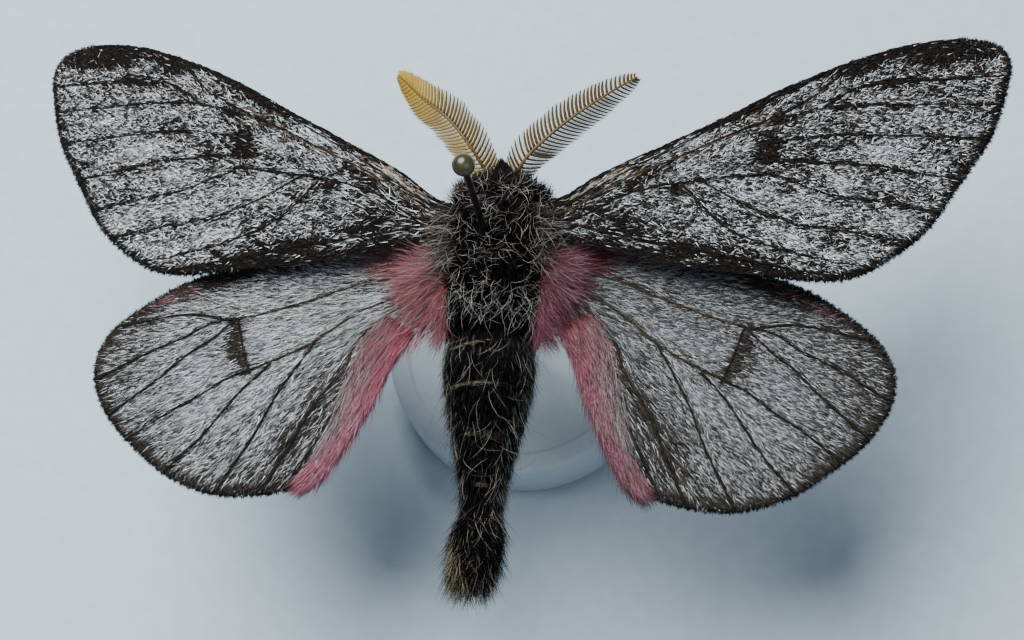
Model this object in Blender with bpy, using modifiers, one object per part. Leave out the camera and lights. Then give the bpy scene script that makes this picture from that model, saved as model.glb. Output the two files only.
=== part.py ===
"""A spread moth on its insect pin, with the pin standing in a plain round base.

The shapes are worked out in millimetres and each finished mesh is scaled to metres at the end.
The origin is on the floor under the pin. +Y is towards the moth's head, +X its right side, +Z up.
Lengths called x, y and z of the moth are measured from its own middle: the body's centre line, the
pin and the level of the wing roots.
"""

import math
import random

import bmesh
import bpy
import numpy as np
from mathutils import Matrix, Vector
from mathutils.geometry import delaunay_2d_cdt

MM = 0.001
GAP = 0.3
SEED = 7

PIN_LENGTH = 38.0
PIN_RADIUS = 0.25
PIN_HEAD_RADIUS = 0.74
PIN_POINT = 3.0
PIN_TIP_Z = 0.9
BASE_RADIUS = 11.0
BASE_HEIGHT = 6.0
BASE_EDGE = 0.6

BODY_X = 0.55
WING_LEVEL = 25.5

WING_THICKNESS = 0.5
VEIN_RISE = 0.2
VEIN_HALF_WIDTH = 0.42
VEIN_STEP = 3.0
EDGE_STEP = 2.0
FILL_STEP = 3.4
RIM_ROOM = 0.25
FILL_ROOM = 0.9

# Rings of a lock of hair: share of its length, of its width and of its thickness.
LOCK_RINGS = ((0.0, 0.85, 0.9), (0.55, 1.0, 1.0))
LOCK_THICKNESS = 0.5
SUNK = 0.7

FOREWING_EDGE = (
    (-3.6, 0.6), (-0.3, 1.3), (2.5, 3.1), (6.6, 5.1), (10.8, 7.2), (15.0, 9.5), (19.2, 11.4),
    (23.4, 12.9), (27.5, 13.5), (29.9, 13.0), (30.7, 11.6), (30.3, 9.4), (29.1, 5.9), (27.0, 2.5),
    (24.5, -1.2), (21.8, -3.5), (19.5, -4.7), (17.0, -4.95), (13.5, -4.6), (8.2, -3.9),
    (4.0, -2.9), (0.0, -1.9), (-3.6, -1.2),
)
FOREWING_VEINS = {
    "subcosta": ((-2.5, 0.2), (0.6, 1.0), (4.2, 3.1), (9.0, 5.7), (14.0, 8.4), (17.6, 10.6)),
    "radius": ((-2.5, -0.3), (0.2, 0.2), (2.5, 1.6), (5.3, 3.1), (8.1, 4.3), (12.5, 6.4)),
    "radius_1": ((12.5, 6.4), (15.0, 7.5), (17.8, 9.3), (19.9, 11.6)),
    "radius_4": ((17.7, 7.8), (20.5, 9.6), (24.6, 10.1), (30.5, 10.5)),
    "radius_5": ((12.5, 6.4), (14.3, 6.9), (17.7, 7.8), (21.2, 8.2), (24.5, 8.2), (30.0, 8.3)),
    "media_1": ((13.6, 5.1), (18.4, 5.8), (21.8, 5.8), (25.1, 5.7), (28.9, 5.6)),
    "media_2": ((14.1, 3.8), (17.6, 3.7), (21.0, 3.5), (24.3, 2.9), (27.0, 2.5)),
    "media_3": ((14.2, 2.9), (16.3, 2.0), (18.9, 1.1), (21.6, 0.7), (25.4, 0.0)),
    "cubitus": ((-2.5, -0.6), (0.8, -0.4), (3.9, 1.2), (6.7, 2.0), (9.5, 2.4), (14.2, 2.9)),
    "cubitus_1": ((9.5, 2.4), (12.2, 0.7), (14.6, -0.4), (16.2, -1.0), (19.5, -1.5), (23.3, -2.2)),
    "cubitus_2": ((8.2, 2.2), (10.8, -0.8), (13.5, -2.3), (17.5, -3.5), (20.6, -4.1)),
    "anal": ((-2.5, -0.8), (0.9, -0.9), (4.0, -1.7), (8.2, -2.6), (12.2, -3.5), (18.2, -4.8)),
    "cell_end": ((12.5, 6.4), (13.6, 5.1), (14.1, 3.8), (14.2, 2.9)),
}
HINDWING_EDGE = (
    (-3.8, 1.6), (0.5, 2.9), (4.5, 3.3), (9.0, 2.8), (12.5, 1.8), (15.5, 0.6), (18.1, -0.6),
    (20.9, -2.7), (22.4, -4.4), (22.9, -6.3), (22.5, -8.3), (21.0, -10.6), (18.7, -12.7),
    (15.9, -14.6), (12.6, -15.7), (9.5, -15.6), (7.0, -15.0), (5.6, -13.6), (4.2, -11.0),
    (2.9, -8.0), (1.9, -5.2), (0.6, -3.0), (-3.8, -1.6),
)
HINDWING_VEINS = {
    "subcosta": (
        (-2.5, 0.6), (0.6, 0.9), (4.1, 0.3), (8.6, -1.5), (13.0, -2.9), (16.7, -2.7), (21.2, -3.6),
    ),
    "radial": ((13.0, -2.9), (15.0, -3.4), (16.7, -4.5), (18.7, -5.5), (22.3, -7.7)),
    "media_1": ((13.0, -2.9), (14.7, -4.6), (16.4, -6.0), (18.0, -7.7), (20.9, -10.4)),
    "media_3": ((11.5, -6.8), (13.0, -7.5), (14.7, -8.8), (16.6, -10.1), (19.2, -12.1)),
    "cubitus": ((-2.5, -0.1), (0.5, -0.4), (3.1, -1.3), (5.2, -2.7), (7.6, -4.7), (11.5, -6.8)),
    "cubitus_1": ((10.0, -6.2), (11.7, -8.2), (13.0, -10.2), (14.3, -12.2), (16.0, -14.2)),
    "cubitus_2": ((6.9, -4.1), (8.0, -6.1), (9.4, -8.9), (10.4, -11.7), (12.2, -15.4)),
    "anal_1": ((0.5, -0.5), (3.8, -3.7), (4.9, -6.6), (6.4, -9.0), (7.7, -12.1), (9.0, -15.2)),
    "anal_2": ((0.5, -0.8), (3.0, -4.3), (4.0, -7.0), (5.4, -10.5), (7.2, -14.6)),
    "cell_end": ((13.0, -2.9), (12.3, -4.9), (11.5, -6.8)),
}
# The inner fringe: the stretch of the hindwing's edge that carries it, from its back end to the root,
# each layer's distance in from the edge and height, and the locks' angles and lengths at both ends.
FRINGE_FIRST, FRINGE_LAST = 17, 22
FRINGE_STEP = 1.5
FRINGE_LAYERS = ((0.35, 0.35), (1.2, 0.6))
FRINGE_LEANS = (226.0, 236.0)
FRINGE_LENGTHS = (1.5, 2.5)
FRINGE_WIDTH = 1.6
FRINGE_THICKNESS = 0.55

# Each wing of the specimen is set a little differently: its root, in millimetres, its angles in
# degrees, and how much it bends, as the rise at x times x.
FOREWING_SET = {
    "right": {"root": (4.6, 2.05, 1.1), "sweep": 0.0, "lift": 3.0, "pitch": 0.0, "bend": -0.0015},
    "left": {"root": (4.6, 1.9, 1.1), "sweep": 1.1, "lift": 10.2, "pitch": 8.0, "bend": -0.0108},
}
HINDWING_SET = {
    "right": {"root": (4.2, -2.35, -0.9), "sweep": 0.0, "lift": -1.5, "pitch": 0.0, "bend": -0.001},
    "left": {"root": (5.2, -2.95, -0.9), "sweep": 2.2, "lift": 2.6, "pitch": -3.4, "bend": -0.0027},
}

BODY_SIDES = 18
HEAD_SIDES = 14
# Oval sections of the body, front to back: y, half width, half height, height of the middle.
THORAX_SECTIONS = (
    (4.5, 1.9, 1.5, -0.6), (4.0, 3.0, 2.4, -0.4), (2.6, 3.6, 3.1, -0.4), (0.5, 3.6, 3.4, -0.5),
    (-2.0, 3.4, 3.3, -0.6), (-4.3, 3.15, 2.9, -0.7), (-5.9, 2.9, 2.6, -0.8),
)
# Rows of the thorax's coat: y, how many locks, how far they lie forward and how long they are.
THORAX_ROWS = (
    (3.5, 8, 0.9, 1.25), (3.3, 8, -0.5, 1.7), (1.6, 8, -0.9, 1.9), (-0.1, 8, -1.0, 2.0),
    (-1.8, 8, -1.0, 2.0), (-3.5, 8, -1.0, 2.0), (-5.2, 8, -0.9, 1.9),
)
ROOT_TUFTS = 6
HEAD_SECTIONS = (
    (6.5, 0.5, 0.5, -1.0), (6.3, 1.0, 1.0, -1.0), (5.8, 1.5, 1.4, -0.9), (5.1, 1.65, 1.5, -0.8),
    (4.7, 1.5, 1.35, -0.7),
)
ABDOMEN_FRONT = -6.2
ABDOMEN_JOINTS = (-7.6, -10.4, -13.7, -16.9)
ABDOMEN_BACK = -19.4
ABDOMEN_WIDTHS = (
    (-25.5, 1.0), (-19.4, 1.25), (-18.1, 1.3), (-16.0, 1.55), (-13.3, 2.2), (-10.5, 2.85),
    (-8.3, 3.15), (-7.6, 3.1), (-6.9, 2.7), (-6.2, 2.2),
)
ABDOMEN_DROOP = -0.5
SEGMENT_STEP = 0.22
TUFT_SECTIONS = (
    (-19.7, 1.0, 0.95, -1.25), (-20.7, 1.5, 1.4, -1.3), (-22.2, 1.6, 1.5, -1.3),
    (-23.3, 0.9, 0.9, -1.3),
)
# Rows of locks. On the abdomen: y, how many, and how far they stand out. On the tuft their length
# comes before that, and on the head there are only y and how many.
ABDOMEN_ROWS = ((-7.5, 9, 0.3), (-9.8, 9, 0.3), (-13.1, 8, 0.3), (-16.3, 6, 0.3), (-18.5, 7, 0.42))
TUFT_ROWS = ((-20.2, 8, 3.6, 0.42), (-21.6, 8, 3.1, 0.26))
HEAD_ROWS = ((5.1, 5), (5.9, 4))
# How far the body's middle lies to the left, by y.
SWAY = ((-25.0, -0.65), (-22.0, -0.6), (-18.0, -0.15), (-12.0, -0.15), (-6.2, -0.2), (-3.0, 0.0))

EYE_AT = (1.32, 5.35, -0.85)
EYE_RADIUS = 0.78
PALP_LINE = ((0.42, 5.9, -1.9), (0.45, 6.7, -2.0), (0.45, 7.5, -1.75))
PALP_RADIUS = 0.3

# Shafts of the two antennae from the head to the tip: x outwards, y and z.
ANTENNA_LINE = {
    "right": ((0.85, 5.3, 0.2), (2.2, 6.5, 1.2), (4.75, 8.7, 1.5), (7.4, 10.9, 1.5), (9.5, 12.9, 1.3)),
    "left": ((0.85, 5.3, 0.2), (2.1, 7.1, 1.5), (3.9, 9.3, 1.9), (5.9, 10.9, 2.0), (7.9, 13.1, 1.6)),
}
ANTENNA_TILT = {"right": 6.0, "left": 30.0}
ANTENNA_RADII = (0.36, 0.22)
RAMI = 13
RAMUS_FIRST = 0.13
RAMUS_LENGTH = 1.85
RAMUS_WIDTH = 0.52
RAMUS_THICKNESS = 0.47
RAMUS_LEAN = 57.0
# Length of a branch against its place along the shaft, both as shares.
COMB_PROFILE = ((0.0, 0.6), (0.2, 0.9), (0.45, 1.0), (0.7, 0.82), (0.9, 0.45), (1.0, 0.15))

LEG_RADII = (0.5, 0.46, 0.42, 0.34, 0.25)
LEG_LINES = {
    "fore": ((1.2, 2.7, -2.2), (1.5, 3.1, -4.2), (2.7, 4.2, -4.9), (2.1, 2.2, -5.7), (1.5, 0.5, -5.9)),
    "mid": ((1.8, 0.2, -2.2), (2.2, 0.0, -4.2), (3.4, 0.9, -5.0), (3.0, -1.8, -5.9), (2.5, -3.9, -6.2)),
    "hind": ((1.4, -2.6, -2.2), (1.6, -3.0, -4.0), (2.5, -4.4, -4.7), (2.0, -7.0, -5.0), (1.5, -9.2, -5.1)),
}
SIDES = {"left": -1.0, "right": 1.0}


def clear_scene():
    for obj in list(bpy.data.objects):
        bpy.data.objects.remove(obj, do_unlink=True)


def material(name, colour, roughness, metallic=0.0):
    made = bpy.data.materials.new(name)
    made.use_nodes = True
    shader = made.node_tree.nodes["Principled BSDF"]
    shader.inputs["Base Color"].default_value = (*colour, 1.0)
    shader.inputs["Roughness"].default_value = roughness
    shader.inputs["Metallic"].default_value = metallic
    return made


def placed(points, side=1.0):
    """Points of the moth, given from its own middle, as points of the part."""
    points = np.atleast_2d(np.asarray(points, float))
    return points * (side, 1.0, 1.0) + (BODY_X, 0.0, WING_LEVEL)


def smooth_line(points, step, closed=False):
    """A smooth curve through the points, with a point about every step."""
    points = [np.asarray(p, float) for p in points]
    count = len(points)
    line = []
    for i in range(count if closed else count - 1):
        if closed:
            a, b, c, d = (points[(i + k) % count] for k in (-1, 0, 1, 2))
        else:
            a, b = points[max(i - 1, 0)], points[i]
            c, d = points[i + 1], points[min(i + 2, count - 1)]
        pieces = max(1, round(float(np.linalg.norm(c - b)) / step))
        for k in range(pieces):
            t = k / pieces
            line.append(
                0.5 * (2 * b + (c - a) * t + (2 * a - 5 * b + 4 * c - d) * t**2
                       + (3 * b - a - 3 * c + d) * t**3)
            )
    if not closed:
        line.append(points[-1])
    return np.array(line)


def mesh_object(name, points, faces):
    """A mesh object in millimetres whose faces all point outwards."""
    mesh = bpy.data.meshes.new(name)
    mesh.from_pydata([tuple(map(float, p)) for p in points], [], [tuple(map(int, f)) for f in faces])
    work = bmesh.new()
    work.from_mesh(mesh)
    bmesh.ops.recalc_face_normals(work, faces=work.faces)
    bmesh.ops.triangulate(work, faces=work.faces)
    work.to_mesh(mesh)
    work.free()
    obj = bpy.data.objects.new(name, mesh)
    bpy.context.scene.collection.objects.link(obj)
    return obj


def ringed(name, rings, tip=None):
    """A closed skin over rings of equal count, with a flat face at each end or a point at the last."""
    count = len(rings[0])
    points = [p for ring in rings for p in ring]
    faces = [tuple(range(count))]
    for r in range(len(rings) - 1):
        for k in range(count):
            n = (k + 1) % count
            faces.append((r * count + k, r * count + n, (r + 1) * count + n, (r + 1) * count + k))
    last = (len(rings) - 1) * count
    if tip is None:
        faces.append(tuple(range(last, last + count)))
    else:
        points.append(tip)
        faces += [(last + k, last + (k + 1) % count, len(points) - 1) for k in range(count)]
    return mesh_object(name, points, faces)


def sway_at(y):
    table = np.array(SWAY)
    return float(np.interp(y, table[:, 0], table[:, 1]))


def oval_ring(y, half_width, half_height, middle, sides, grow=0.0):
    angles = np.arange(sides) * (2 * math.pi / sides)
    x = sway_at(y) + (half_width + grow) * np.cos(angles)
    z = middle + (half_height + grow) * np.sin(angles)
    return placed(np.stack([x, np.full(sides, y), z], axis=1))


def body_piece(name, sections, sides, grow=0.0):
    """A loft through oval sections. grow widens it all round, for a cutter that leaves a gap."""
    rings = []
    for i, (y, half_width, half_height, middle) in enumerate(sections):
        end = {0: grow, len(sections) - 1: -grow}.get(i, 0.0)
        rings.append(oval_ring(y + end, half_width, half_height, middle, sides, grow))
    return ringed(name, rings)


def skin_point(sections, y, angle):
    """The point of a body piece's skin at y and at an angle round it, and the way out of it there."""
    table = np.array(sorted(sections))
    half_width, half_height, middle = (float(np.interp(y, table[:, 0], table[:, k])) for k in (1, 2, 3))
    x, z = half_width * math.cos(angle), half_height * math.sin(angle)
    out = Vector((x / half_width**2, 0.0, z / half_height**2)).normalized()
    return placed((sway_at(y) + x, y, middle + z))[0], out


def tube(name, line, radii):
    """A closed tube along a line, from a curve with a bevel and filled caps."""
    curve = bpy.data.curves.new(name, "CURVE")
    curve.dimensions = "3D"
    curve.bevel_depth = 1.0
    curve.bevel_resolution = 1
    curve.use_fill_caps = True
    spline = curve.splines.new("POLY")
    spline.points.add(len(line) - 1)
    for point, place, radius in zip(spline.points, line, radii):
        point.co = (*map(float, place), 1.0)
        point.radius = float(radius)
    guide = bpy.data.objects.new(name, curve)
    bpy.context.scene.collection.objects.link(guide)
    graph = bpy.context.evaluated_depsgraph_get()
    mesh = bpy.data.meshes.new_from_object(guide.evaluated_get(graph))
    work = bmesh.new()
    work.from_mesh(mesh)
    bmesh.ops.remove_doubles(work, verts=work.verts, dist=0.001)
    bmesh.ops.recalc_face_normals(work, faces=work.faces)
    bmesh.ops.triangulate(work, faces=work.faces)
    work.to_mesh(mesh)
    work.free()
    bpy.data.objects.remove(guide)
    obj = bpy.data.objects.new(name, mesh)
    bpy.context.scene.collection.objects.link(obj)
    return obj


def ball(name, centre, radius, segments, rings):
    work = bmesh.new()
    bmesh.ops.create_uvsphere(work, u_segments=segments, v_segments=rings, radius=radius)
    bmesh.ops.translate(work, verts=work.verts, vec=Vector(map(float, centre)))
    mesh = bpy.data.meshes.new(name)
    work.to_mesh(mesh)
    work.free()
    obj = bpy.data.objects.new(name, mesh)
    bpy.context.scene.collection.objects.link(obj)
    return obj


def upright(name, radius_low, radius_high, low, high, segments):
    """A cylinder or cone on the pin's axis."""
    work = bmesh.new()
    bmesh.ops.create_cone(
        work, cap_ends=True, segments=segments, radius1=radius_low, radius2=radius_high,
        depth=high - low,
    )
    bmesh.ops.translate(work, verts=work.verts, vec=(0, 0, (low + high) / 2))
    mesh = bpy.data.meshes.new(name)
    work.to_mesh(mesh)
    work.free()
    obj = bpy.data.objects.new(name, mesh)
    bpy.context.scene.collection.objects.link(obj)
    return obj


def lock(root, along, face, length, width, curl=0.0, thickness=LOCK_THICKNESS):
    """A flat, tapering lock of hair. It starts SUNK deep, lies along a direction and curls to its face."""
    along, face = Vector(along).normalized(), Vector(face).normalized()
    across = along.cross(face).normalized()
    face = across.cross(along).normalized()
    root = Vector(map(float, root)) - face * SUNK * 0.5 - along * SUNK * 0.5
    rings = []
    for share, wide, thick in LOCK_RINGS:
        middle = root + along * (length + SUNK) * share + face * curl * share**2 * length
        side, up = across * width * wide / 2, face * thickness * thick / 2
        rings.append([middle + side, middle + up, middle - side, middle - up])
    tip = root + along * (length + SUNK) + face * curl * length
    return ringed("lock", rings, tip)


def joined(name, pieces):
    """One closed mesh from overlapping closed pieces. Only its largest surface is kept."""
    first, others = pieces[0], pieces[1:]
    group = bpy.data.collections.new(name + "_pieces")
    for obj in others:
        group.objects.link(obj)
    join = first.modifiers.new("join", "BOOLEAN")
    join.operation = "UNION"
    join.operand_type = "COLLECTION"
    join.collection = group
    join.solver = "MANIFOLD"
    made = applied(first, name)
    for obj in others:
        bpy.data.objects.remove(obj)
    bpy.data.collections.remove(group)
    return keep_largest(made)


def cut(obj, cutters):
    """The object with each cutter taken away. The cutters stay, hidden, for further use."""
    for cutter in cutters:
        take = obj.modifiers.new("cut", "BOOLEAN")
        take.operation = "DIFFERENCE"
        take.object = cutter
        take.solver = "MANIFOLD"
        obj = applied(obj, obj.name)
    return keep_largest(obj)


def applied(obj, name):
    graph = bpy.context.evaluated_depsgraph_get()
    mesh = bpy.data.meshes.new_from_object(obj.evaluated_get(graph))
    bpy.data.objects.remove(obj)
    made = bpy.data.objects.new(name, mesh)
    bpy.context.scene.collection.objects.link(made)
    return made


def keep_largest(obj):
    work = bmesh.new()
    work.from_mesh(obj.data)
    bmesh.ops.triangulate(work, faces=work.faces)
    groups, seen = [], set()
    for start in work.faces:
        if start in seen:
            continue
        group, todo = [], [start]
        seen.add(start)
        while todo:
            face = todo.pop()
            group.append(face)
            for edge in face.edges:
                for other in edge.link_faces:
                    if other not in seen:
                        seen.add(other)
                        todo.append(other)
        groups.append(group)
    groups.sort(key=lambda group: sum(face.calc_area() for face in group))
    for group in groups[:-1]:
        bmesh.ops.delete(work, geom=group, context="FACES")
    work.to_mesh(obj.data)
    work.free()
    return obj


def as_cutter(obj):
    obj.name = "cutter_" + obj.name
    obj.hide_render = True
    obj.display_type = "WIRE"
    return obj


def finished(obj, name, finish, collection, rounded=False):
    """Names the piece, scales it to metres and gives it its material."""
    obj.name = name
    obj.data.transform(Matrix.Scale(MM, 4))
    obj.data.materials.clear()
    obj.data.materials.append(finish)
    if rounded:
        obj.data.shade_smooth()
    for other in list(obj.users_collection):
        other.objects.unlink(obj)
    collection.objects.link(obj)
    return obj


def wing_frame(setting):
    """Turns points of a wing, x outwards and y forwards, to points of the moth's right side."""
    lift, pitch, sweep = (math.radians(setting[k]) for k in ("lift", "pitch", "sweep"))
    turn = (
        Matrix.Rotation(sweep, 3, "Z") @ Matrix.Rotation(-lift, 3, "Y") @ Matrix.Rotation(pitch, 3, "X")
    )
    return np.array(turn)


def wing_points(plan, heights, setting, side):
    """Wing points from a flat plan and heights off it, bent, turned and put at the wing's root."""
    x, y = plan[:, 0], plan[:, 1]
    local = np.stack([x, y, setting["bend"] * x * np.abs(x) + heights], axis=1)
    return placed(local @ wing_frame(setting).T + setting["root"], side)


def inside(outline, point):
    """Whether a flat point lies inside a closed outline."""
    x, y = point
    odd = False
    for (ax, ay), (bx, by) in zip(outline, np.roll(outline, -1, axis=0)):
        if (ay > y) != (by > y) and x < ax + (y - ay) * (bx - ax) / (by - ay):
            odd = not odd
    return odd


def beside(line, offset):
    """The line moved sideways by an offset."""
    way = np.gradient(line, axis=0)
    way /= np.linalg.norm(way, axis=1, keepdims=True)
    return line + offset * np.stack([-way[:, 1], way[:, 0]], axis=1)


def distance_to(lines, points):
    """Distance of each flat point to the nearest of the lines."""
    best = np.full(len(points), 1e9)
    for line in lines:
        for a, b in zip(line[:-1], line[1:]):
            run = b - a
            t = np.clip(((points - a) @ run) / (run @ run), 0.0, 1.0)
            best = np.minimum(best, np.linalg.norm(points - a - t[:, None] * run, axis=1))
    return best


def wing_plan(edge, veins):
    """A flat triangle mesh of the wing with each vein as a line of edges between two foot lines.

    Returns its points, its triangles and the rise of each point.
    """
    outline = smooth_line(edge, EDGE_STEP, closed=True)
    rim = np.vstack([outline, outline[:1]])
    centres = [smooth_line(line, VEIN_STEP) for line in veins.values()]
    points, edges = list(outline), [(k, (k + 1) % len(outline)) for k in range(len(outline))]

    def clear(point, lines, room):
        return inside(outline, point) and distance_to(lines, point[None])[0] > room

    for centre in centres:
        for offset in (0.0, VEIN_HALF_WIDTH, -VEIN_HALF_WIDTH):
            line = [p for p in beside(centre, offset) if clear(p, [rim], RIM_ROOM)]
            first = len(points)
            points += line
            edges += [(first + k, first + k + 1) for k in range(len(line) - 1)]
    low, high = outline.min(axis=0), outline.max(axis=0)
    for x in np.arange(low[0], high[0], FILL_STEP):
        for y in np.arange(low[1], high[1], FILL_STEP):
            if clear(np.array([x, y]), [*centres, rim], FILL_ROOM):
                points.append(np.array([x, y]))
    made = delaunay_2d_cdt([Vector(p) for p in points], edges, [], 0, 1e-4)
    flat = np.array([tuple(p) for p in made[0]])
    triangles = [f for f in made[2] if inside(outline, flat[list(f)].mean(axis=0))]
    used = sorted({k for f in triangles for k in f})
    number = {old: new for new, old in enumerate(used)}
    flat = flat[used]
    triangles = [tuple(number[k] for k in f) for f in triangles]
    near = distance_to(centres, flat)
    rises = VEIN_RISE * np.clip(1 - near / VEIN_HALF_WIDTH, 0, 1)
    return flat, triangles, rises


def wing_sheet(name, plan, setting, side, extra=0.0):
    """The closed wing: two like faces, one on each side of the plan, and a rim between them."""
    flat, triangles, rises = plan
    if extra:
        middle = flat.mean(axis=0)
        away = flat - middle
        flat = flat + extra * away / np.maximum(np.linalg.norm(away, axis=1, keepdims=True), 1e-6)
    heights = WING_THICKNESS / 2 + rises + extra
    top = wing_points(flat, heights, setting, side)
    under = wing_points(flat, -heights, setting, side)
    count = len(flat)
    faces = list(triangles) + [tuple(k + count for k in reversed(f)) for f in triangles]
    directed = {(f[k], f[(k + 1) % 3]) for f in triangles for k in range(3)}
    for a, b in directed:
        if (b, a) not in directed:
            faces += [(b, a, a + count), (b, a + count, b + count)]
    return mesh_object(name, np.vstack([top, under]), faces)


def fringe(setting, side, rng):
    """Locks of the long fringe on the hindwing's inner edge, in two layers, lying back along it."""
    line = smooth_line(HINDWING_EDGE[FRINGE_FIRST:FRINGE_LAST], FRINGE_STEP)
    turn = wing_frame(setting).T
    up = np.array([0.0, 0.0, 1.0]) @ turn * (side, 1, 1)
    locks = []
    for k, root in enumerate(line):
        share = k / (len(line) - 1)
        for layer, (shift, rise) in enumerate(FRINGE_LAYERS):
            lean = math.radians(np.interp(share, (0, 1), FRINGE_LEANS) + rng.uniform(-5, 5))
            way = np.array([math.cos(lean), math.sin(lean), 0.0]) @ turn * (side, 1, 1)
            start = wing_points((root + (shift, 0.5 * layer))[None], np.array([rise]), setting, side)[0]
            length = float(np.interp(share, (0, 1), FRINGE_LENGTHS)) * rng.uniform(0.9, 1.1)
            locks.append(lock(start, way, up, length, FRINGE_WIDTH, rng.uniform(-0.04, 0.04), FRINGE_THICKNESS))
    return locks


def wings(materials, collection, core_cutter):
    """The four wings, each parted from the thorax by a gap, and a fatter copy of each as a cutter."""
    rng = random.Random(SEED)
    cutters = []
    for kind, edge, veins, settings in (
        ("forewing", FOREWING_EDGE, FOREWING_VEINS, FOREWING_SET),
        ("hindwing", HINDWING_EDGE, HINDWING_VEINS, HINDWING_SET),
    ):
        plan = wing_plan(edge, veins)
        for side_name, side in SIDES.items():
            setting = settings[side_name]
            name = f"{kind}_{side_name}"
            sheet = wing_sheet(name, plan, setting, side)
            if kind == "hindwing":
                sheet = joined(name, [sheet, *fringe(setting, side, rng)])
            sheet = cut(sheet, [core_cutter])
            fat = cut(wing_sheet(name + "_room", plan, setting, side, GAP + 0.05), [core_cutter])
            cutters.append(as_cutter(fat))
            finished(sheet, name, materials[kind], collection)
    return cutters


def thorax_locks(rng):
    """The thorax's long coat: rows of tousled locks that lie back, a collar that stands out, and
    long tufts over the wing roots."""
    locks = []
    for row, (y, count, forward, length) in enumerate(THORAX_ROWS):
        for k in range(count):
            share = (k + 0.5 * (row % 2) + 0.25) / count
            angle = math.radians(-35 + 250 * share) + rng.uniform(-0.08, 0.08)
            place, out = skin_point(THORAX_SECTIONS, y + rng.uniform(-0.25, 0.25), angle)
            way = Vector((rng.uniform(-0.35, 0.35), forward, 0.0)) + out * rng.uniform(0.38, 0.55)
            length_here = length * rng.uniform(0.9, 1.08)
            locks.append(lock(place, way, out, length_here, rng.uniform(1.9, 2.2), -0.08))
    for side in SIDES.values():
        for k in range(ROOT_TUFTS):
            place = placed((3.1, 1.9 - 1.1 * k, 1.3 - 0.16 * k), side)[0]
            way = (side, -0.3 - 0.14 * k, 0.3 - 0.05 * k)
            locks.append(lock(place, way, (0, 0, 1), rng.uniform(2.5, 3.1), 1.6, -0.1))
    return locks


def abdomen_sections():
    """Sections of the abdomen, each ring of it stepping in under the back edge of the one before."""
    edges = (ABDOMEN_FRONT, *ABDOMEN_JOINTS, ABDOMEN_BACK)
    widths = np.array(ABDOMEN_WIDTHS)
    sections = []
    for k, (front, back) in enumerate(zip(edges[:-1], edges[1:])):
        tuck = SEGMENT_STEP if k else 0.0
        for share, inset in ((0.0, tuck), (0.3, 0.04), (0.97, 0.0)):
            y = front + (back - front) * share
            half_width = float(np.interp(y, widths[:, 0], widths[:, 1])) - inset
            fall = (y - ABDOMEN_FRONT) / (ABDOMEN_BACK - ABDOMEN_FRONT)
            sections.append((y, half_width, half_width * 0.93, -0.8 + ABDOMEN_DROOP * fall))
    last = sections[-1]
    sections[-1] = (ABDOMEN_BACK, *last[1:])
    return sections


def abdomen_locks(sections, rng):
    """A row of short locks round the back of each ring of the abdomen."""
    locks = []
    for y, count, flare in ABDOMEN_ROWS:
        for k in range(count):
            angle = math.radians(-35 + 250 * (k + 0.5) / count) + rng.uniform(-0.06, 0.06)
            place, out = skin_point(sections, y, angle)
            way = Vector((0.0, -1.0, 0.0)) + out * flare
            locks.append(lock(place, way, out, rng.uniform(1.3, 1.7), 6.6 / count + 0.4, -0.05))
    return locks


def tuft_locks(rng):
    """The brush at the tip of the abdomen: two rings of long locks that flare and close again."""
    locks = []
    for row, (y, count, length, flare) in enumerate(TUFT_ROWS):
        for k in range(count):
            place, out = skin_point(TUFT_SECTIONS, y, 2 * math.pi * (k + 0.5 * row) / count)
            way = Vector((0.0, -1.0, 0.0)) + out * flare
            locks.append(lock(place, way, out, length * rng.uniform(0.9, 1.08), 1.45, -0.16))
    return locks


def head_locks(rng):
    """The shaggy crown and brow."""
    locks = []
    for y, count in HEAD_ROWS:
        for k in range(count):
            angle = math.radians(38 + 104 * (k + 0.5) / count)
            place, out = skin_point(HEAD_SECTIONS, y, angle)
            way = Vector((rng.uniform(-0.2, 0.2), 1.0, 0.0)) + out * 0.35
            locks.append(lock(place, way, out, rng.uniform(1.0, 1.25), 1.1, -0.12))
    return locks


def antenna_frame(side_name):
    """The shaft's points, its direction at each and the direction that its comb's flat side faces."""
    line = smooth_line(ANTENNA_LINE[side_name], 0.8)
    way = np.gradient(line, axis=0)
    way /= np.linalg.norm(way, axis=1, keepdims=True)
    tilt = math.radians(ANTENNA_TILT[side_name])
    faces = []
    for w in way:
        flat = Vector((0, 0, 1)) - Vector(w) * w[2]
        faces.append(Matrix.Rotation(-tilt, 3, Vector(w)) @ flat.normalized())
    return line, way, np.array(faces)


def antenna(side_name, side):
    """A shaft with a comb of flat, tapering branches along both its edges."""
    line, way, faces = antenna_frame(side_name)
    pieces = [tube("shaft", placed(line, side), np.linspace(*ANTENNA_RADII, len(line)))]
    reach = np.concatenate([[0.0], np.cumsum(np.linalg.norm(np.diff(line, axis=0), axis=1))])
    lean = math.radians(RAMUS_LEAN)
    for k in range(RAMI):
        share = RAMUS_FIRST + (0.97 - RAMUS_FIRST) * k / (RAMI - 1)
        middle, along, face = (
            np.array([np.interp(share * reach[-1], reach, table[:, c]) for c in range(3)])
            for table in (line, way, faces)
        )
        length = RAMUS_LENGTH * float(np.interp(share, *np.array(COMB_PROFILE).T))
        for edge in (-1.0, 1.0):
            across = np.cross(along, face) * edge
            root = middle + across * 0.2 + along * 0.06 * edge + face * SUNK * 0.5
            aim = across * math.sin(lean) + along * math.cos(lean)
            root, aim, flat = placed(root, side)[0], Vector(aim * (side, 1, 1)), Vector(face * (side, 1, 1))
            pieces.append(lock(root, aim, flat, length, RAMUS_WIDTH, -0.08, RAMUS_THICKNESS))
    return joined(f"antenna_{side_name}", pieces)


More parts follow.
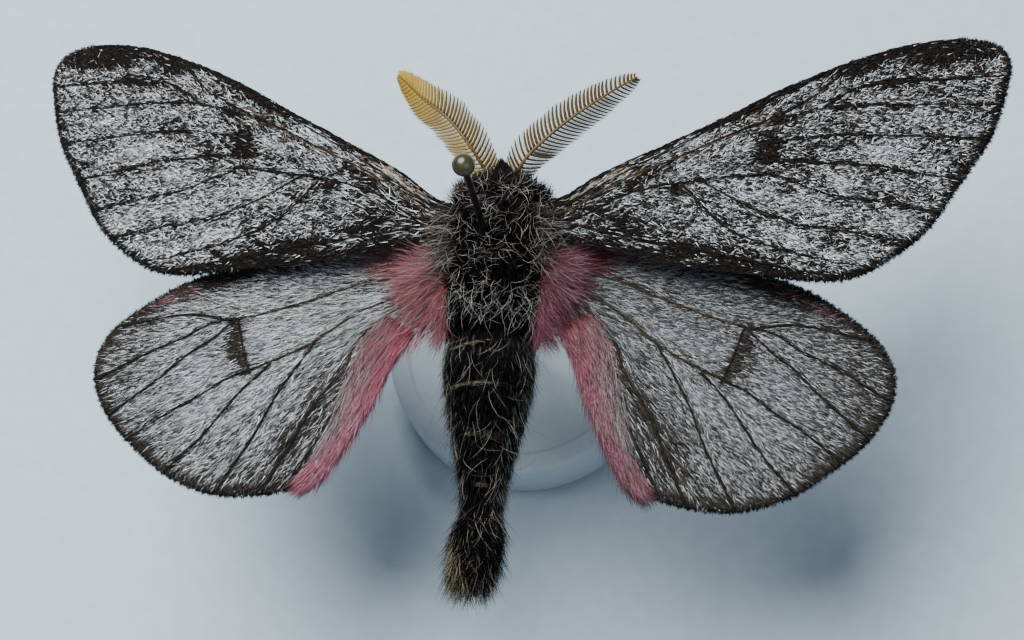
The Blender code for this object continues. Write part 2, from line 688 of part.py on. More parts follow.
def comb_room(side_name, side):
    """A plain blade round an antenna's comb, wider by the gap, that clears the coat near it."""
    line, way, faces = antenna_frame(side_name)
    rings = []
    for middle, along, face in zip(line, way, faces):
        across = np.cross(along, face) * (RAMUS_LENGTH + GAP)
        thick = face * (ANTENNA_RADII[0] + GAP)
        if middle[1] < ANTENNA_LINE[side_name][0][1] + 1.0:
            across = across * (ANTENNA_RADII[0] + GAP) / (RAMUS_LENGTH + GAP)
        rings.append(placed([middle + across, middle + thick, middle - across, middle - thick], side))
    return as_cutter(ringed(f"comb_room_{side_name}", rings))


def leg(kind, side_name, side, core_cutter):
    """One leg and a fatter copy of it as a cutter."""
    line = placed(smooth_line(LEG_LINES[kind], 1.1), side)
    steps = np.linspace(0, 1, len(line))
    radii = np.interp(steps, np.linspace(0, 1, len(LEG_RADII)), LEG_RADII)
    made = cut(tube(f"leg_{kind}_{side_name}", line, radii), [core_cutter])
    room = as_cutter(cut(tube(made.name + "_room", line, radii + GAP), [core_cutter]))
    return made, room


def stand_and_pin(materials, collection):
    """The round base with the pin's hole, the pin's shaft and its round head."""
    base = upright("stand_base", BASE_RADIUS, BASE_RADIUS, 0, BASE_HEIGHT, 48)
    bevel = base.modifiers.new("edge", "BEVEL")
    bevel.width = BASE_EDGE
    bevel.segments = 2
    bevel.limit_method = "ANGLE"
    base = applied(base, "stand_base")
    hole = as_cutter(
        upright("pin_hole", PIN_RADIUS + GAP, PIN_RADIUS + GAP, PIN_TIP_Z - GAP, BASE_HEIGHT + 1, 16)
    )
    base = cut(base, [hole])
    top = PIN_TIP_Z + PIN_LENGTH
    shaft_top = top - 2 * PIN_HEAD_RADIUS - GAP / 2
    point = upright("point", 0.08, PIN_RADIUS, PIN_TIP_Z, PIN_TIP_Z + PIN_POINT, 14)
    shaft = upright("pin_shaft", PIN_RADIUS, PIN_RADIUS, PIN_TIP_Z + PIN_POINT - 0.01, shaft_top, 14)
    shaft = joined("pin_shaft", [shaft, point])
    head = ball("pin_head", (0, 0, top - PIN_HEAD_RADIUS + GAP / 2), PIN_HEAD_RADIUS, 16, 9)
    finished(base, "stand_base", materials["stand"], collection)
    finished(shaft, "pin_shaft", materials["pin"], collection, rounded=True)
    finished(head, "pin_head", materials["pin_head"], collection, rounded=True)


def build():
    clear_scene()
    rng = random.Random(SEED)
    parts = bpy.data.collections.new("pinned_moth")
    bpy.context.scene.collection.children.link(parts)
    materials = {
        "black_coat": material("black_coat", (0.012, 0.011, 0.011), 0.8),
        "grey_coat": material("grey_coat", (0.05, 0.045, 0.045), 0.8),
        "forewing": material("forewing_scales", (0.12, 0.12, 0.125), 0.75),
        "hindwing": material("hindwing_scales", (0.24, 0.24, 0.25), 0.75),
        "antenna": material("antenna_horn", (0.42, 0.28, 0.08), 0.5),
        "eye": material("eye_black", (0.01, 0.009, 0.009), 0.15),
        "leg": material("leg_coat", (0.03, 0.026, 0.025), 0.8),
        "pin": material("pin_enamel", (0.01, 0.012, 0.012), 0.3, 0.6),
        "pin_head": material("pin_brass", (0.30, 0.26, 0.10), 0.3, 0.7),
        "stand": material("stand_paint", (0.62, 0.66, 0.68), 0.6),
    }
    stand_and_pin(materials, parts)

    core_room = as_cutter(body_piece("core_room", THORAX_SECTIONS, BODY_SIDES, GAP))
    head_room = as_cutter(body_piece("head_room", HEAD_SECTIONS, HEAD_SIDES, GAP))
    pin_room = as_cutter(upright("pin_room", PIN_RADIUS + GAP, PIN_RADIUS + GAP, 10, 45, 16))
    wing_rooms = wings(materials, parts, core_room)

    leg_rooms = []
    for kind in LEG_LINES:
        for side_name, side in SIDES.items():
            made, room = leg(kind, side_name, side, core_room)
            leg_rooms.append(room)
            finished(made, f"leg_{kind}_{side_name}", materials["leg"], parts, rounded=True)

    eye_rooms, comb_rooms = [], []
    for side_name, side in SIDES.items():
        centre = placed(EYE_AT, side)[0]
        eye_rooms.append(as_cutter(ball("eye_room_" + side_name, centre, EYE_RADIUS + GAP, 16, 10)))
        finished(ball("eye", centre, EYE_RADIUS, 14, 9), f"eye_{side_name}", materials["eye"], parts, True)
        comb_rooms.append(comb_room(side_name, side))
        made = cut(antenna(side_name, side), [head_room])
        finished(made, f"antenna_{side_name}", materials["antenna"], parts)
        palp_line = placed(smooth_line(PALP_LINE, 0.5), side)
        palp = tube("palp", palp_line, [PALP_RADIUS] * len(palp_line))
        finished(cut(palp, [head_room]), f"palp_{side_name}", materials["black_coat"], parts, True)

    head = joined("head", [body_piece("head", HEAD_SECTIONS, HEAD_SIDES), *head_locks(rng)])
    head = cut(head, [*eye_rooms, *comb_rooms, core_room])
    finished(head, "head", materials["black_coat"], parts)

    abdomen_rings = abdomen_sections()
    abdomen_room = as_cutter(body_piece("abdomen_room", abdomen_rings[:6], BODY_SIDES, GAP))
    thorax = joined("thorax", [body_piece("thorax", THORAX_SECTIONS, BODY_SIDES), *thorax_locks(rng)])
    rooms = [*wing_rooms, *leg_rooms, *comb_rooms, *eye_rooms, head_room, abdomen_room, pin_room]
    finished(cut(thorax, rooms), "thorax", materials["black_coat"], parts)

    tuft_room = as_cutter(body_piece("tuft_room", TUFT_SECTIONS, HEAD_SIDES, GAP))
    abdomen_core = body_piece("abdomen", abdomen_rings, BODY_SIDES)
    abdomen = joined("abdomen", [abdomen_core, *abdomen_locks(abdomen_rings, rng)])
    finished(cut(abdomen, [core_room, tuft_room]), "abdomen", materials["black_coat"], parts)
    back_room = as_cutter(body_piece("back_room", abdomen_rings[-4:], BODY_SIDES, GAP))
    tuft = joined("anal_tuft", [body_piece("tuft", TUFT_SECTIONS, HEAD_SIDES), *tuft_locks(rng)])
    finished(cut(tuft, [back_room]), "anal_tuft", materials["grey_coat"], parts)


build()
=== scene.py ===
"""The looks of a spread moth on its insect pin: skin, wing membranes, scales, hair, pin and stand.

The pieces are worked out in millimetres in the part's own frame and scaled to metres as they are made.
The moth's own lengths are measured from its middle: the body's centre line, the pin and the level of
the wing roots. x is outwards on each side, y is towards the head and z is up.
"""

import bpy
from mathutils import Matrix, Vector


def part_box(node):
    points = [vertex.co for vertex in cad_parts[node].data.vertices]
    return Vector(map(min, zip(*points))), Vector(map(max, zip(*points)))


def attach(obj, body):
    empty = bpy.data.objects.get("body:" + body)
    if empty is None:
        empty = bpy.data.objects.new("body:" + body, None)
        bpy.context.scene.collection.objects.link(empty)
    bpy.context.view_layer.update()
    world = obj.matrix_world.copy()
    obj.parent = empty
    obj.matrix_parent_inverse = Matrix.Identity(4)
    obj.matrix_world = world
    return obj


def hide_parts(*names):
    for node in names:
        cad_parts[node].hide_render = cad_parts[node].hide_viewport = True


bl_info = {
    "name": "Pinned moth",
    "version": (1, 0, 0),
    "blender": (4, 5, 0),
    "location": "3D View > Sidebar > Moth",
    "description": "Skin, scales, hair, pin and stand of a spread moth over its solids",
    "category": "Mesh",
}

import math

import bpy
import numpy as np
from mathutils import Matrix, Vector, noise
from mathutils.geometry import delaunay_2d_cdt

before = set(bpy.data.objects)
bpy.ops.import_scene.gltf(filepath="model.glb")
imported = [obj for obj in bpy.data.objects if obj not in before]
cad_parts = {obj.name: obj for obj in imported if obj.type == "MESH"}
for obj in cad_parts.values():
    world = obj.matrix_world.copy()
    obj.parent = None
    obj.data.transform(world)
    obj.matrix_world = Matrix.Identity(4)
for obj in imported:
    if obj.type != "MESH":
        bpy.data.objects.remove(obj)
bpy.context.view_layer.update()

MM = 0.001
SIDES = {"left": -1.0, "right": 1.0}

# Places that the solids set: the pin stands on the part's origin.
BODY_X = 0.55
WING_LEVEL = 25.5
PIN_TIP_Z = 0.9
BASE_HEIGHT = float(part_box("stand_base")[1].z) / MM
BASE_RADIUS = float(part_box("stand_base")[1].x) / MM

# Outlines and veins of the flat wings, outwards and forwards from the wing's root.
FOREWING_EDGE = (
    (-3.6, 0.6), (-0.3, 1.3), (2.5, 3.1), (6.6, 5.1), (10.8, 7.2), (15.0, 9.5), (19.2, 11.4),
    (23.4, 12.9), (27.5, 13.5), (29.9, 13.0), (30.7, 11.6), (30.3, 9.4), (29.1, 5.9), (27.0, 2.5),
    (24.5, -1.2), (21.8, -3.5), (19.5, -4.7), (17.0, -4.95), (13.5, -4.6), (8.2, -3.9),
    (4.0, -2.9), (0.0, -1.9), (-3.6, -1.2),
)
FOREWING_VEINS = {
    "subcosta": ((-2.5, 0.2), (0.6, 1.0), (4.2, 3.1), (9.0, 5.7), (14.0, 8.4), (17.6, 10.6)),
    "radius": ((-2.5, -0.3), (0.2, 0.2), (2.5, 1.6), (5.3, 3.1), (8.1, 4.3), (12.5, 6.4)),
    "radius_1": ((12.5, 6.4), (15.0, 7.5), (17.8, 9.3), (19.9, 11.6)),
    "radius_4": ((17.7, 7.8), (20.5, 9.6), (24.6, 10.1), (30.5, 10.5)),
    "radius_5": ((12.5, 6.4), (14.3, 6.9), (17.7, 7.8), (21.2, 8.2), (24.5, 8.2), (30.0, 8.3)),
    "media_1": ((13.6, 5.1), (18.4, 5.8), (21.8, 5.8), (25.1, 5.7), (28.9, 5.6)),
    "media_2": ((14.1, 3.8), (17.6, 3.7), (21.0, 3.5), (24.3, 2.9), (27.0, 2.5)),
    "media_3": ((14.2, 2.9), (16.3, 2.0), (18.9, 1.1), (21.6, 0.7), (25.4, 0.0)),
    "cubitus": ((-2.5, -0.6), (0.8, -0.4), (3.9, 1.2), (6.7, 2.0), (9.5, 2.4), (14.2, 2.9)),
    "cubitus_1": ((9.5, 2.4), (12.2, 0.7), (14.6, -0.4), (16.2, -1.0), (19.5, -1.5), (23.3, -2.2)),
    "cubitus_2": ((8.2, 2.2), (10.8, -0.8), (13.5, -2.3), (17.5, -3.5), (20.6, -4.1)),
    "anal": ((-2.5, -0.8), (0.9, -0.9), (4.0, -1.7), (8.2, -2.6), (12.2, -3.5), (18.2, -4.8)),
    "cell_end": ((12.5, 6.4), (13.6, 5.1), (14.1, 3.8), (14.2, 2.9)),
}
HINDWING_EDGE = (
    (-3.8, 1.6), (0.5, 2.9), (4.5, 3.3), (9.0, 2.8), (12.5, 1.8), (15.5, 0.6), (18.1, -0.6),
    (20.9, -2.7), (22.4, -4.4), (22.9, -6.3), (22.5, -8.3), (21.0, -10.6), (18.7, -12.7),
    (15.9, -14.6), (12.6, -15.7), (9.5, -15.6), (7.0, -15.0), (5.6, -13.6), (4.2, -11.0),
    (2.9, -8.0), (1.9, -5.2), (0.6, -3.0), (-3.8, -1.6),
)
HINDWING_VEINS = {
    "subcosta": (
        (-2.5, 0.6), (0.6, 0.9), (4.1, 0.3), (8.6, -1.5), (13.0, -2.9), (16.7, -2.7), (21.2, -3.6),
    ),
    "radial": ((13.0, -2.9), (15.0, -3.4), (16.7, -4.5), (18.7, -5.5), (22.3, -7.7)),
    "media_1": ((13.0, -2.9), (14.7, -4.6), (16.4, -6.0), (18.0, -7.7), (20.9, -10.4)),
    "media_3": ((11.5, -6.8), (13.0, -7.5), (14.7, -8.8), (16.6, -10.1), (19.2, -12.1)),
    "cubitus": ((-2.5, -0.1), (0.5, -0.4), (3.1, -1.3), (5.2, -2.7), (7.6, -4.7), (11.5, -6.8)),
    "cubitus_1": ((10.0, -6.2), (11.7, -8.2), (13.0, -10.2), (14.3, -12.2), (16.0, -14.2)),
    "cubitus_2": ((6.9, -4.1), (8.0, -6.1), (9.4, -8.9), (10.4, -11.7), (12.2, -15.4)),
    "anal_1": ((0.5, -0.5), (3.8, -3.7), (4.9, -6.6), (6.4, -9.0), (7.7, -12.1), (9.0, -15.2)),
    "anal_2": ((0.5, -0.8), (3.0, -4.3), (4.0, -7.0), (5.4, -10.5), (7.2, -14.6)),
    "cell_end": ((13.0, -2.9), (12.3, -4.9), (11.5, -6.8)),
}
# Each wing is set a little differently: its root, its angles in degrees and how much it bends.
FOREWING_SET = {
    "right": {"root": (4.6, 2.05, 1.1), "sweep": 0.0, "lift": 3.0, "pitch": 0.0, "bend": -0.0015},
    "left": {"root": (4.6, 1.9, 1.1), "sweep": 1.1, "lift": 10.2, "pitch": 8.0, "bend": -0.0108},
}
HINDWING_SET = {
    "right": {"root": (4.2, -2.35, -0.9), "sweep": 0.0, "lift": -1.5, "pitch": 0.0, "bend": -0.001},
    "left": {"root": (5.2, -2.95, -0.9), "sweep": 2.2, "lift": 2.6, "pitch": -3.4, "bend": -0.0027},
}
WINGS = {
    "forewing": (FOREWING_EDGE, FOREWING_VEINS, FOREWING_SET),
    "hindwing": (HINDWING_EDGE, HINDWING_VEINS, HINDWING_SET),
}
# The stretch of each wing's edge that carries a scaly fringe, and the hindwing's hairy inner edge.
FRINGED = {"forewing": (8, 19), "hindwing": (5, 17)}
INNER_EDGE = (16, 22)
# The veins that are golden near the root: how golden they are and how far out that goes.
VEIN_STEMS = {
    "forewing": {"radius": (1.0, 9.0), "subcosta": (0.2, 9.5)},
    "hindwing": {"subcosta": (1.0, 14.0), "cubitus": (1.0, 11.5), "anal_1": (0.5, 8.0)},
}

# Oval sections of the whole body from the brow to the tail: y, half width, half height, middle.
BODY_SECTIONS = (
    (6.5, 0.5, 0.5, -1.0), (6.3, 1.0, 1.0, -1.0), (5.8, 1.5, 1.4, -0.9), (5.1, 1.7, 1.55, -0.8),
    (4.5, 2.1, 1.7, -0.6), (4.0, 3.0, 2.4, -0.4), (2.6, 3.6, 3.1, -0.4), (0.5, 3.6, 3.4, -0.5),
    (-2.0, 3.4, 3.3, -0.6), (-4.3, 3.15, 2.9, -0.7), (-6.0, 2.75, 2.5, -0.8),
    (-7.6, 3.05, 2.8, -0.85), (-8.3, 3.15, 2.9, -0.87), (-10.5, 2.85, 2.65, -0.96),
    (-13.3, 2.2, 2.05, -1.07), (-16.0, 1.6, 1.5, -1.17), (-18.1, 1.32, 1.25, -1.25),
    (-20.7, 1.4, 1.3, -1.3), (-22.2, 1.3, 1.2, -1.3), (-23.3, 0.7, 0.7, -1.3),
)
BODY_INSET = 0.2
SWAY = ((-25.0, -0.65), (-22.0, -0.6), (-18.0, -0.15), (-12.0, -0.15), (-6.2, -0.2), (-3.0, 0.0))
# Where the body's unwrap starts and ends, and the level over which the bands show.
UNWRAP_SPAN = (-26, 10)
BAND_LEVEL = WING_LEVEL - 0.6
ABDOMEN_JOINTS = (-7.6, -10.4, -13.7, -16.9)

EYE_AT = (1.32, 5.35, -0.85)
EYE_RADIUS = 0.78
PALP_LINE = ((0.42, 5.9, -1.9), (0.45, 6.7, -2.0), (0.45, 7.5, -1.75))

ANTENNA_LINE = {
    "right": ((0.85, 5.3, 0.2), (2.0, 6.75, 1.2), (4.5, 9.15, 1.5), (7.2, 11.25, 1.5), (9.5, 12.9, 1.3)),
    "left": ((0.85, 5.3, 0.2), (2.1, 7.1, 1.5), (3.9, 9.3, 1.9), (5.9, 10.9, 2.0), (7.9, 13.1, 1.6)),
}
# How far each comb is rolled about its shaft, at its base and at its tip, in degrees.
ANTENNA_ROLL = {"right": (4.0, 8.0), "left": (24.0, 52.0)}
ANTENNA_RADII = (0.14, 0.06)
# Dark branches on each side of an antenna's shaft. As many paler ones lie between them.
RAMI = 36
RAMUS_FIRST = 0.02
RAMUS_LAST = 0.985
RAMUS_LENGTH = 1.88
RAMUS_CURL = -0.06
RAMUS_SWAY = -0.24
PALE_RAMUS = (0.42, 0.39, 0.29)
RAMUS_LEAN = 70.0
RAMI_RINGS = ((0.0, 0.9), (0.2, 1.0), (0.45, 0.95), (0.7, 0.85), (0.9, 0.6))
COMB_PROFILE = ((0.0, 0.7), (0.15, 0.96), (0.4, 1.0), (0.65, 0.84), (0.85, 0.55), (1.0, 0.14))

LEG_LINES = {
    "fore": ((1.2, 2.7, -2.2), (1.5, 3.1, -4.2), (2.7, 4.2, -4.9), (2.1, 2.2, -5.7), (1.5, 0.5, -5.9)),
    "mid": ((1.8, 0.2, -2.2), (2.2, 0.0, -4.2), (3.4, 0.9, -5.0), (3.0, -1.8, -5.9), (2.5, -3.9, -6.2)),
    "hind": ((1.4, -2.6, -2.2), (1.6, -3.0, -4.0), (2.5, -4.4, -4.7), (2.0, -7.0, -5.0), (1.5, -9.2, -5.1)),
}

# A leg's radius along its length.
LEG_RADII = ((0, 0.4), (0.25, 0.4), (0.3, 0.3), (0.5, 0.34), (0.55, 0.24), (0.8, 0.18), (1.0, 0.13))

# Light and dark patches of a wing: x, y, half length, half width, turn in degrees, strength.
FOREWING_PATCHES = (
    (8.8, 5.5, 1.2, 0.5, 27, 0.85), (21.4, 4.6, 2.6, 0.75, -4, 0.42), (18.6, 2.3, 1.5, 0.75, -18, 0.42),
    (13.0, 1.5, 2.5, 0.7, -16, 0.4), (15.6, -1.9, 1.5, 0.85, -25, 0.45), (17.2, 0.2, 1.9, 0.6, -16, 0.38),
    (22.6, -0.9, 1.8, 0.8, -12, 0.36), (25.2, 6.9, 1.5, 0.6, 0, 0.34), (22.0, 8.9, 1.3, 0.45, 5, 0.25),
    (17.2, 8.5, 1.1, 0.35, 25, 0.3), (23.0, 11.6, 1.4, 0.4, 22, 0.3), (19.0, -3.6, 2.6, 0.7, -14, 0.3),
    (28.3, 11.4, 1.1, 0.9, 0, 0.1), (11.2, 4.4, 1.5, 0.8, 20, 0.2), (24.6, 4.2, 1.7, 0.7, -5, 0.26),
    (13.85, 4.45, 0.75, 1.15, -20, -1.4), (16.9, 4.6, 0.6, 0.8, 0, -0.32),
    (20.4, 10.9, 1.0, 0.55, 22, -0.7),
    (23.7, 10.2, 2.0, 0.5, 8, -0.4), (27.0, 12.4, 3.0, 1.0, 2, -0.75), (9.5, -3.0, 4.6, 0.9, -10, -0.5),
    (4.2, -0.7, 2.4, 0.9, -14, -0.34), (7.5, 1.7, 1.1, 0.45, 5, -0.5), (15.4, 7.0, 1.4, 0.6, 20, -0.3),
    (19.0, 5.4, 1.1, 0.5, 0, -0.24), (12.2, 7.4, 3.0, 0.6, 27, -0.28), (26.8, 3.6, 1.0, 1.4, 20, -0.18),
    (5.2, 2.4, 2.2, 0.4, 28, -0.35),
)
CREAM_PATCHES = ((3.1, 2.75, 1.3, 0.25, 33, 0.9), (1.2, 1.6, 1.0, 0.25, 35, 0.5))
TAN_PATCHES = (
    (10.2, 5.3, 2.2, 0.3, 25, 0.5), (13.3, 6.9, 1.1, 0.5, 25, 0.6), (17.4, 9.2, 1.0, 0.4, 25, 0.4),
)
HINDWING_PATCHES = (
    (12.7, -4.9, 0.6, 1.3, -16, -0.75), (6.3, -9.0, 1.3, 5.5, 31, -0.3),
    (17.2, -1.0, 2.2, 0.7, -25, -0.35), (9.3, 1.9, 3.8, 0.8, -14, -0.45),
    (14.4, 0.3, 2.3, 0.6, -23, -0.8), (9.0, -3.9, 2.6, 0.9, -25, 0.28), (13.4, -8.6, 2.4, 1.0, -42, 0.26),
    (10.8, -8.2, 2.2, 0.9, -52, 0.24), (15.3, -6.6, 1.8, 0.7, -38, 0.2), (5.2, -7.8, 0.8, 3.4, 22, -0.2),
    (8.0, -12.0, 1.4, 2.4, 22, -0.24), (20.2, -7.2, 1.5, 3.0, 15, -0.28),
)
ROSE_PATCHES = ((18.3, -1.6, 1.4, 0.4, -33, 0.45), (15.8, -0.3, 1.2, 0.3, -25, 0.25))

# The yellow-brown bands on the abdomen's back: y, slant, half width, reach to each side, middle.
ABDOMEN_BANDS = (
    (-7.9, 0.16, 0.06, 1.3, -1.2), (-10.6, 0.02, 0.085, 1.9, -0.6), (-13.85, 0.02, 0.07, 1.0, -1.1),
    (-14.0, 0.0, 0.25, 0.7, 1.3), (-17.2, 0.0, 0.1, 0.5, 0.6),
)
# Tufts at the wings' roots: y range, how many on the right and left, how far outwards and back they
# lean, their lengths, how rosy they are (black if below 0) and their range of angles in degrees.
ROOT_TUFTS = (
    (-1.8, 2.4, 180, 320, 1.0, 0.35, (1.4, 3.2), 0.0, (-5, 50)),
    (-1.6, 2.6, 620, 620, 1.0, 0.5, (1.2, 2.4), -1.0, (-5, 50)),
    (-3.2, -0.8, 560, 560, 1.0, 0.2, (2.2, 4.4), 0.7, (2, 32)),
    (-5.7, -2.6, 900, 900, 0.7, 0.9, (1.7, 3.0), 0.9, (-20, 28)),
)
# How many scales or hairs are drawn for a group, on one side where there are two.
COUNTS = {
    "fringe": 4200, "inner_edge": 5000, "fan_right": 2600, "fan_left": 3000,
    "thorax": 7200, "thorax_loose": 760, "cape": 190, "abdomen": 8400, "flanks": 2600,
    "abdomen_loose": 190, "bands": 5200, "tail": 5400, "tail_loose": 240, "face": 900, "head": 4200,
    "head_loose": 150, "leg": 900, "palp": 700,
}
CILIA_PER_RAMUS = 12
# Where each group's random draws start.
SEEDS = {
    "forewing": 11, "hindwing": 21, "rose": 31, "thorax": 41, "root_tufts": 51, "abdomen": 61,
    "tail": 71, "head": 81, "palps": 91, "antennae": 101, "legs": 111,
}

# Steps between the points of outlines, of veins and of the membrane's grid, and half a vein's width.
OUTLINE_STEP = 0.7
VEIN_STEP = 0.6
GRID_STEP = 0.8
VEIN_HALF = 0.16

# Finishes that take their colour from the marking: roughness, grain and shine.
MARKED = {
    "wing_scales": (0.6, 0.25, 0.12),
    "body_hair": (0.5, 0.25, 0.15),
    "black_hair": (0.7, 0.0, 0.04),
    "wing_membrane": (0.6, 0.4, 0.5),
}
# The soft lights: name, place, size, strength and colour.
LIGHTS = (
    ("key", (-0.07, 0.08, 0.28), 0.24, 2.75, (1.0, 0.985, 0.96)),
    ("fill", (0.25, -0.2, 0.28), 0.3, 0.35, (0.9, 0.95, 1.0)),
)
ROOM_LIGHT = 0.3
FOCAL_LENGTH = 52.03
# What the camera looks at, the ways back to it and to its right, and how far back it is.
CAMERA_AT = (1.85, -5.35, 25.4)
CAMERA_BACK = (0.127, -0.357, 0.926)
CAMERA_RIGHT = (0.992, 0.055, -0.114)
CAMERA_DISTANCE = 102.0


class MothSizes(bpy.types.PropertyGroup):
    """Sizes of the wings, of their scales and of the pin"""

    membrane: bpy.props.FloatProperty(
        name="Membrane", description="Thickness of a wing's bare membrane", default=0.00012,
        unit="LENGTH",
    )
    vein: bpy.props.FloatProperty(
        name="Vein", description="How far a vein stands over the membrane", default=0.0001,
        unit="LENGTH",
    )
    scale_length: bpy.props.FloatProperty(
        name="Scale length", description="Mean length of a forewing scale", default=0.00055,
        unit="LENGTH",
    )
    pin_radius: bpy.props.FloatProperty(
        name="Pin radius", description="Radius of the pin's shaft", default=0.00023, unit="LENGTH"
    )
    forewing_scales: bpy.props.IntProperty(
        name="Forewing scales", description="Scales on the upper face of each forewing",
        default=46500, min=100,
    )
    hindwing_scales: bpy.props.IntProperty(
        name="Hindwing scales", description="Scales on the upper face of each hindwing",
        default=43500, min=100,
    )
    under_scales: bpy.props.IntProperty(
        name="Under scales", description="Scales on the lower face of each wing", default=4000, min=100
    )


def colour_property(name, description, default):
    return bpy.props.FloatVectorProperty(
        name=name, description=description, subtype="COLOR", size=3, default=default, min=0, max=1
    )


class MothColours(bpy.types.PropertyGroup):
    """Colours of the moth's scales and hair and of what it is mounted on"""

    dark: colour_property("Dark scales", "The ground colour of the forewing", (0.009, 0.0072, 0.006))
    pale: colour_property("Pale scales", "The frosting of both wings", (0.62, 0.67, 0.71))
    tan: colour_property("Tan scales", "Scales along the forewing's main stem", (0.12, 0.085, 0.05))
    cream: colour_property("Cream scales", "The patch at the forewing's base", (0.45, 0.4, 0.32))
    smoke: colour_property("Smoke hair", "The hindwing's dark hair", (0.032, 0.028, 0.023))
    olive: colour_property("Olive stems", "The hindwing's main veins", (0.07, 0.05, 0.02))
    black: colour_property("Black coat", "The body's ground coat", (0.0035, 0.003, 0.003))
    frost: colour_property("Pale hair", "The fine curved hairs on the body", (0.52, 0.49, 0.45))
    steel: colour_property("Steel hair", "The blue-grey hairs behind the thorax", (0.3, 0.36, 0.36))
    rose: colour_property("Rose hair", "The fringe of the hindwing's inner edge", (0.28, 0.068, 0.115))
    blush: colour_property("Pale rose hair", "The tips of the rose hair", (0.4, 0.23, 0.265))
    rust: colour_property("Dark rose", "The roots of the rose hair", (0.14, 0.018, 0.026))
    straw: colour_property("Straw hair", "The tail's tips and the bands", (0.5, 0.46, 0.31))
    horn: colour_property("Horn", "The shafts and combs of the antennae", (0.34, 0.21, 0.045))
    paint: colour_property("Stand paint", "The round stand", (0.36, 0.44, 0.5))
    floor: colour_property("Floor", "The floor round the stand", (0.33, 0.42, 0.49))


def unit(vectors):
    """The vectors at length 1."""
    return vectors / np.maximum(np.linalg.norm(vectors, axis=-1, keepdims=True), 1e-9)


def placed(points, side=1.0):
    """Points of the moth, given from its own middle, as points of the part in millimetres."""
    return np.atleast_2d(np.asarray(points, float)) * (side, 1.0, 1.0) + (BODY_X, 0.0, WING_LEVEL)


def smooth_line(points, step, closed=False):
    """A smooth curve through the points, with a point about every step."""
    points = [np.asarray(p, float) for p in points]
    count = len(points)
    line = []
    for i in range(count if closed else count - 1):
        if closed:
            a, b, c, d = (points[(i + k) % count] for k in (-1, 0, 1, 2))
        else:
            a, b = points[max(i - 1, 0)], points[i]
            c, d = points[i + 1], points[min(i + 2, count - 1)]
        pieces = max(1, round(float(np.linalg.norm(c - b)) / step))
        for k in range(pieces):
            t = k / pieces
            line.append(
                0.5 * (2 * b + (c - a) * t + (2 * a - 5 * b + 4 * c - d) * t**2
                       + (3 * b - a - 3 * c + d) * t**3)
            )
    if not closed:
        line.append(points[-1])
    return np.array(line)


def inside(outline, points):
    """Which flat points lie inside a closed outline."""
    odd = np.zeros(len(points), bool)
    for (ax, ay), (bx, by) in zip(outline, np.roll(outline, -1, axis=0)):
        if ay != by:
            crosses = (ay > points[:, 1]) != (by > points[:, 1])
            odd ^= crosses & (points[:, 0] < ax + (points[:, 1] - ay) * (bx - ax) / (by - ay))
    return odd


def nearest(line, points):
    """Distance of flat points to a line, the line's direction there and how far along it they are."""
    best = np.full(len(points), 1e9)
    way = np.zeros((len(points), 2))
    share = np.zeros(len(points))
    for k, (a, b) in enumerate(zip(line[:-1], line[1:])):
        run = b - a
        t = np.clip(((points - a) @ run) / max(run @ run, 1e-12), 0.0, 1.0)
        gap = np.linalg.norm(points - a - t[:, None] * run, axis=1)
        closer = gap < best
        best[closer] = gap[closer]
        way[closer] = run / max(np.linalg.norm(run), 1e-9)
        share[closer] = (k + t[closer]) / (len(line) - 1)
    return best, way, share


def patchy(x, y, size_x, size_y, seed):
    """Smooth noise from -1 to 1 over flat points, with cells of the given size."""
    return np.array([noise.noise(Vector((a / size_x, b / size_y, seed))) for a, b in zip(x, y)])


def patches(table, x, y):
    """The sum of soft oval patches at flat points."""
    total = np.zeros(len(x))
    for cx, cy, half_length, half_width, turn, strength in table:
        cos, sin = math.cos(math.radians(turn)), math.sin(math.radians(turn))
        along = ((x - cx) * cos + (y - cy) * sin) / half_length
        beside = ((y - cy) * cos - (x - cx) * sin) / half_width
        total += strength * np.exp(-(along**2) - beside**2)
    return total


def left_of(ways):
    """Flat directions turned a quarter round."""
    return np.stack([-ways[:, 1], ways[:, 0]], axis=1)


def facing(ways, guides):
    """The ways, each turned round where it points against its guide."""
    return ways * np.sign((ways * guides).sum(1))[:, None]


def wing_turn(setting):
    """The matrix that pitches, lifts and sweeps a wing about its root."""
    lift, pitch, sweep = (math.radians(setting[k]) for k in ("lift", "pitch", "sweep"))
    return np.array(
        Matrix.Rotation(sweep, 3, "Z") @ Matrix.Rotation(-lift, 3, "Y") @ Matrix.Rotation(pitch, 3, "X")
    )


def wing_axes(x, setting, side):
    """The wing's outward, forward and upward directions at distances x from its root."""
    turn = wing_turn(setting)
    slope = 2 * setting["bend"] * np.abs(x)
    one, none = np.ones(len(x)), np.zeros(len(x))
    outward = unit(np.stack([one, none, slope], axis=1)) @ turn.T * (side, 1, 1)
    forward = np.stack([none, one, none], axis=1) @ turn.T * (side, 1, 1)
    upward = unit(np.stack([-slope, none, one], axis=1)) @ turn.T * (side, 1, 1)
    return outward, forward, upward


def over_wing(axes, flow, rise=0.0):
    """Ways over a wing from its axes, from flat directions and from how much they rise."""
    outward, forward, upward = axes
    return outward * flow[:, :1] + forward * flow[:, 1:] + upward * rise


def on_wing(plan, heights, setting, side):
    """Points of the part from places on a wing's flat plan and heights over its middle."""
    x, y = plan[:, 0], plan[:, 1]
    local = np.stack([x, y, setting["bend"] * x * np.abs(x) + heights], axis=1)
    return placed(local @ wing_turn(setting).T + setting["root"], side)


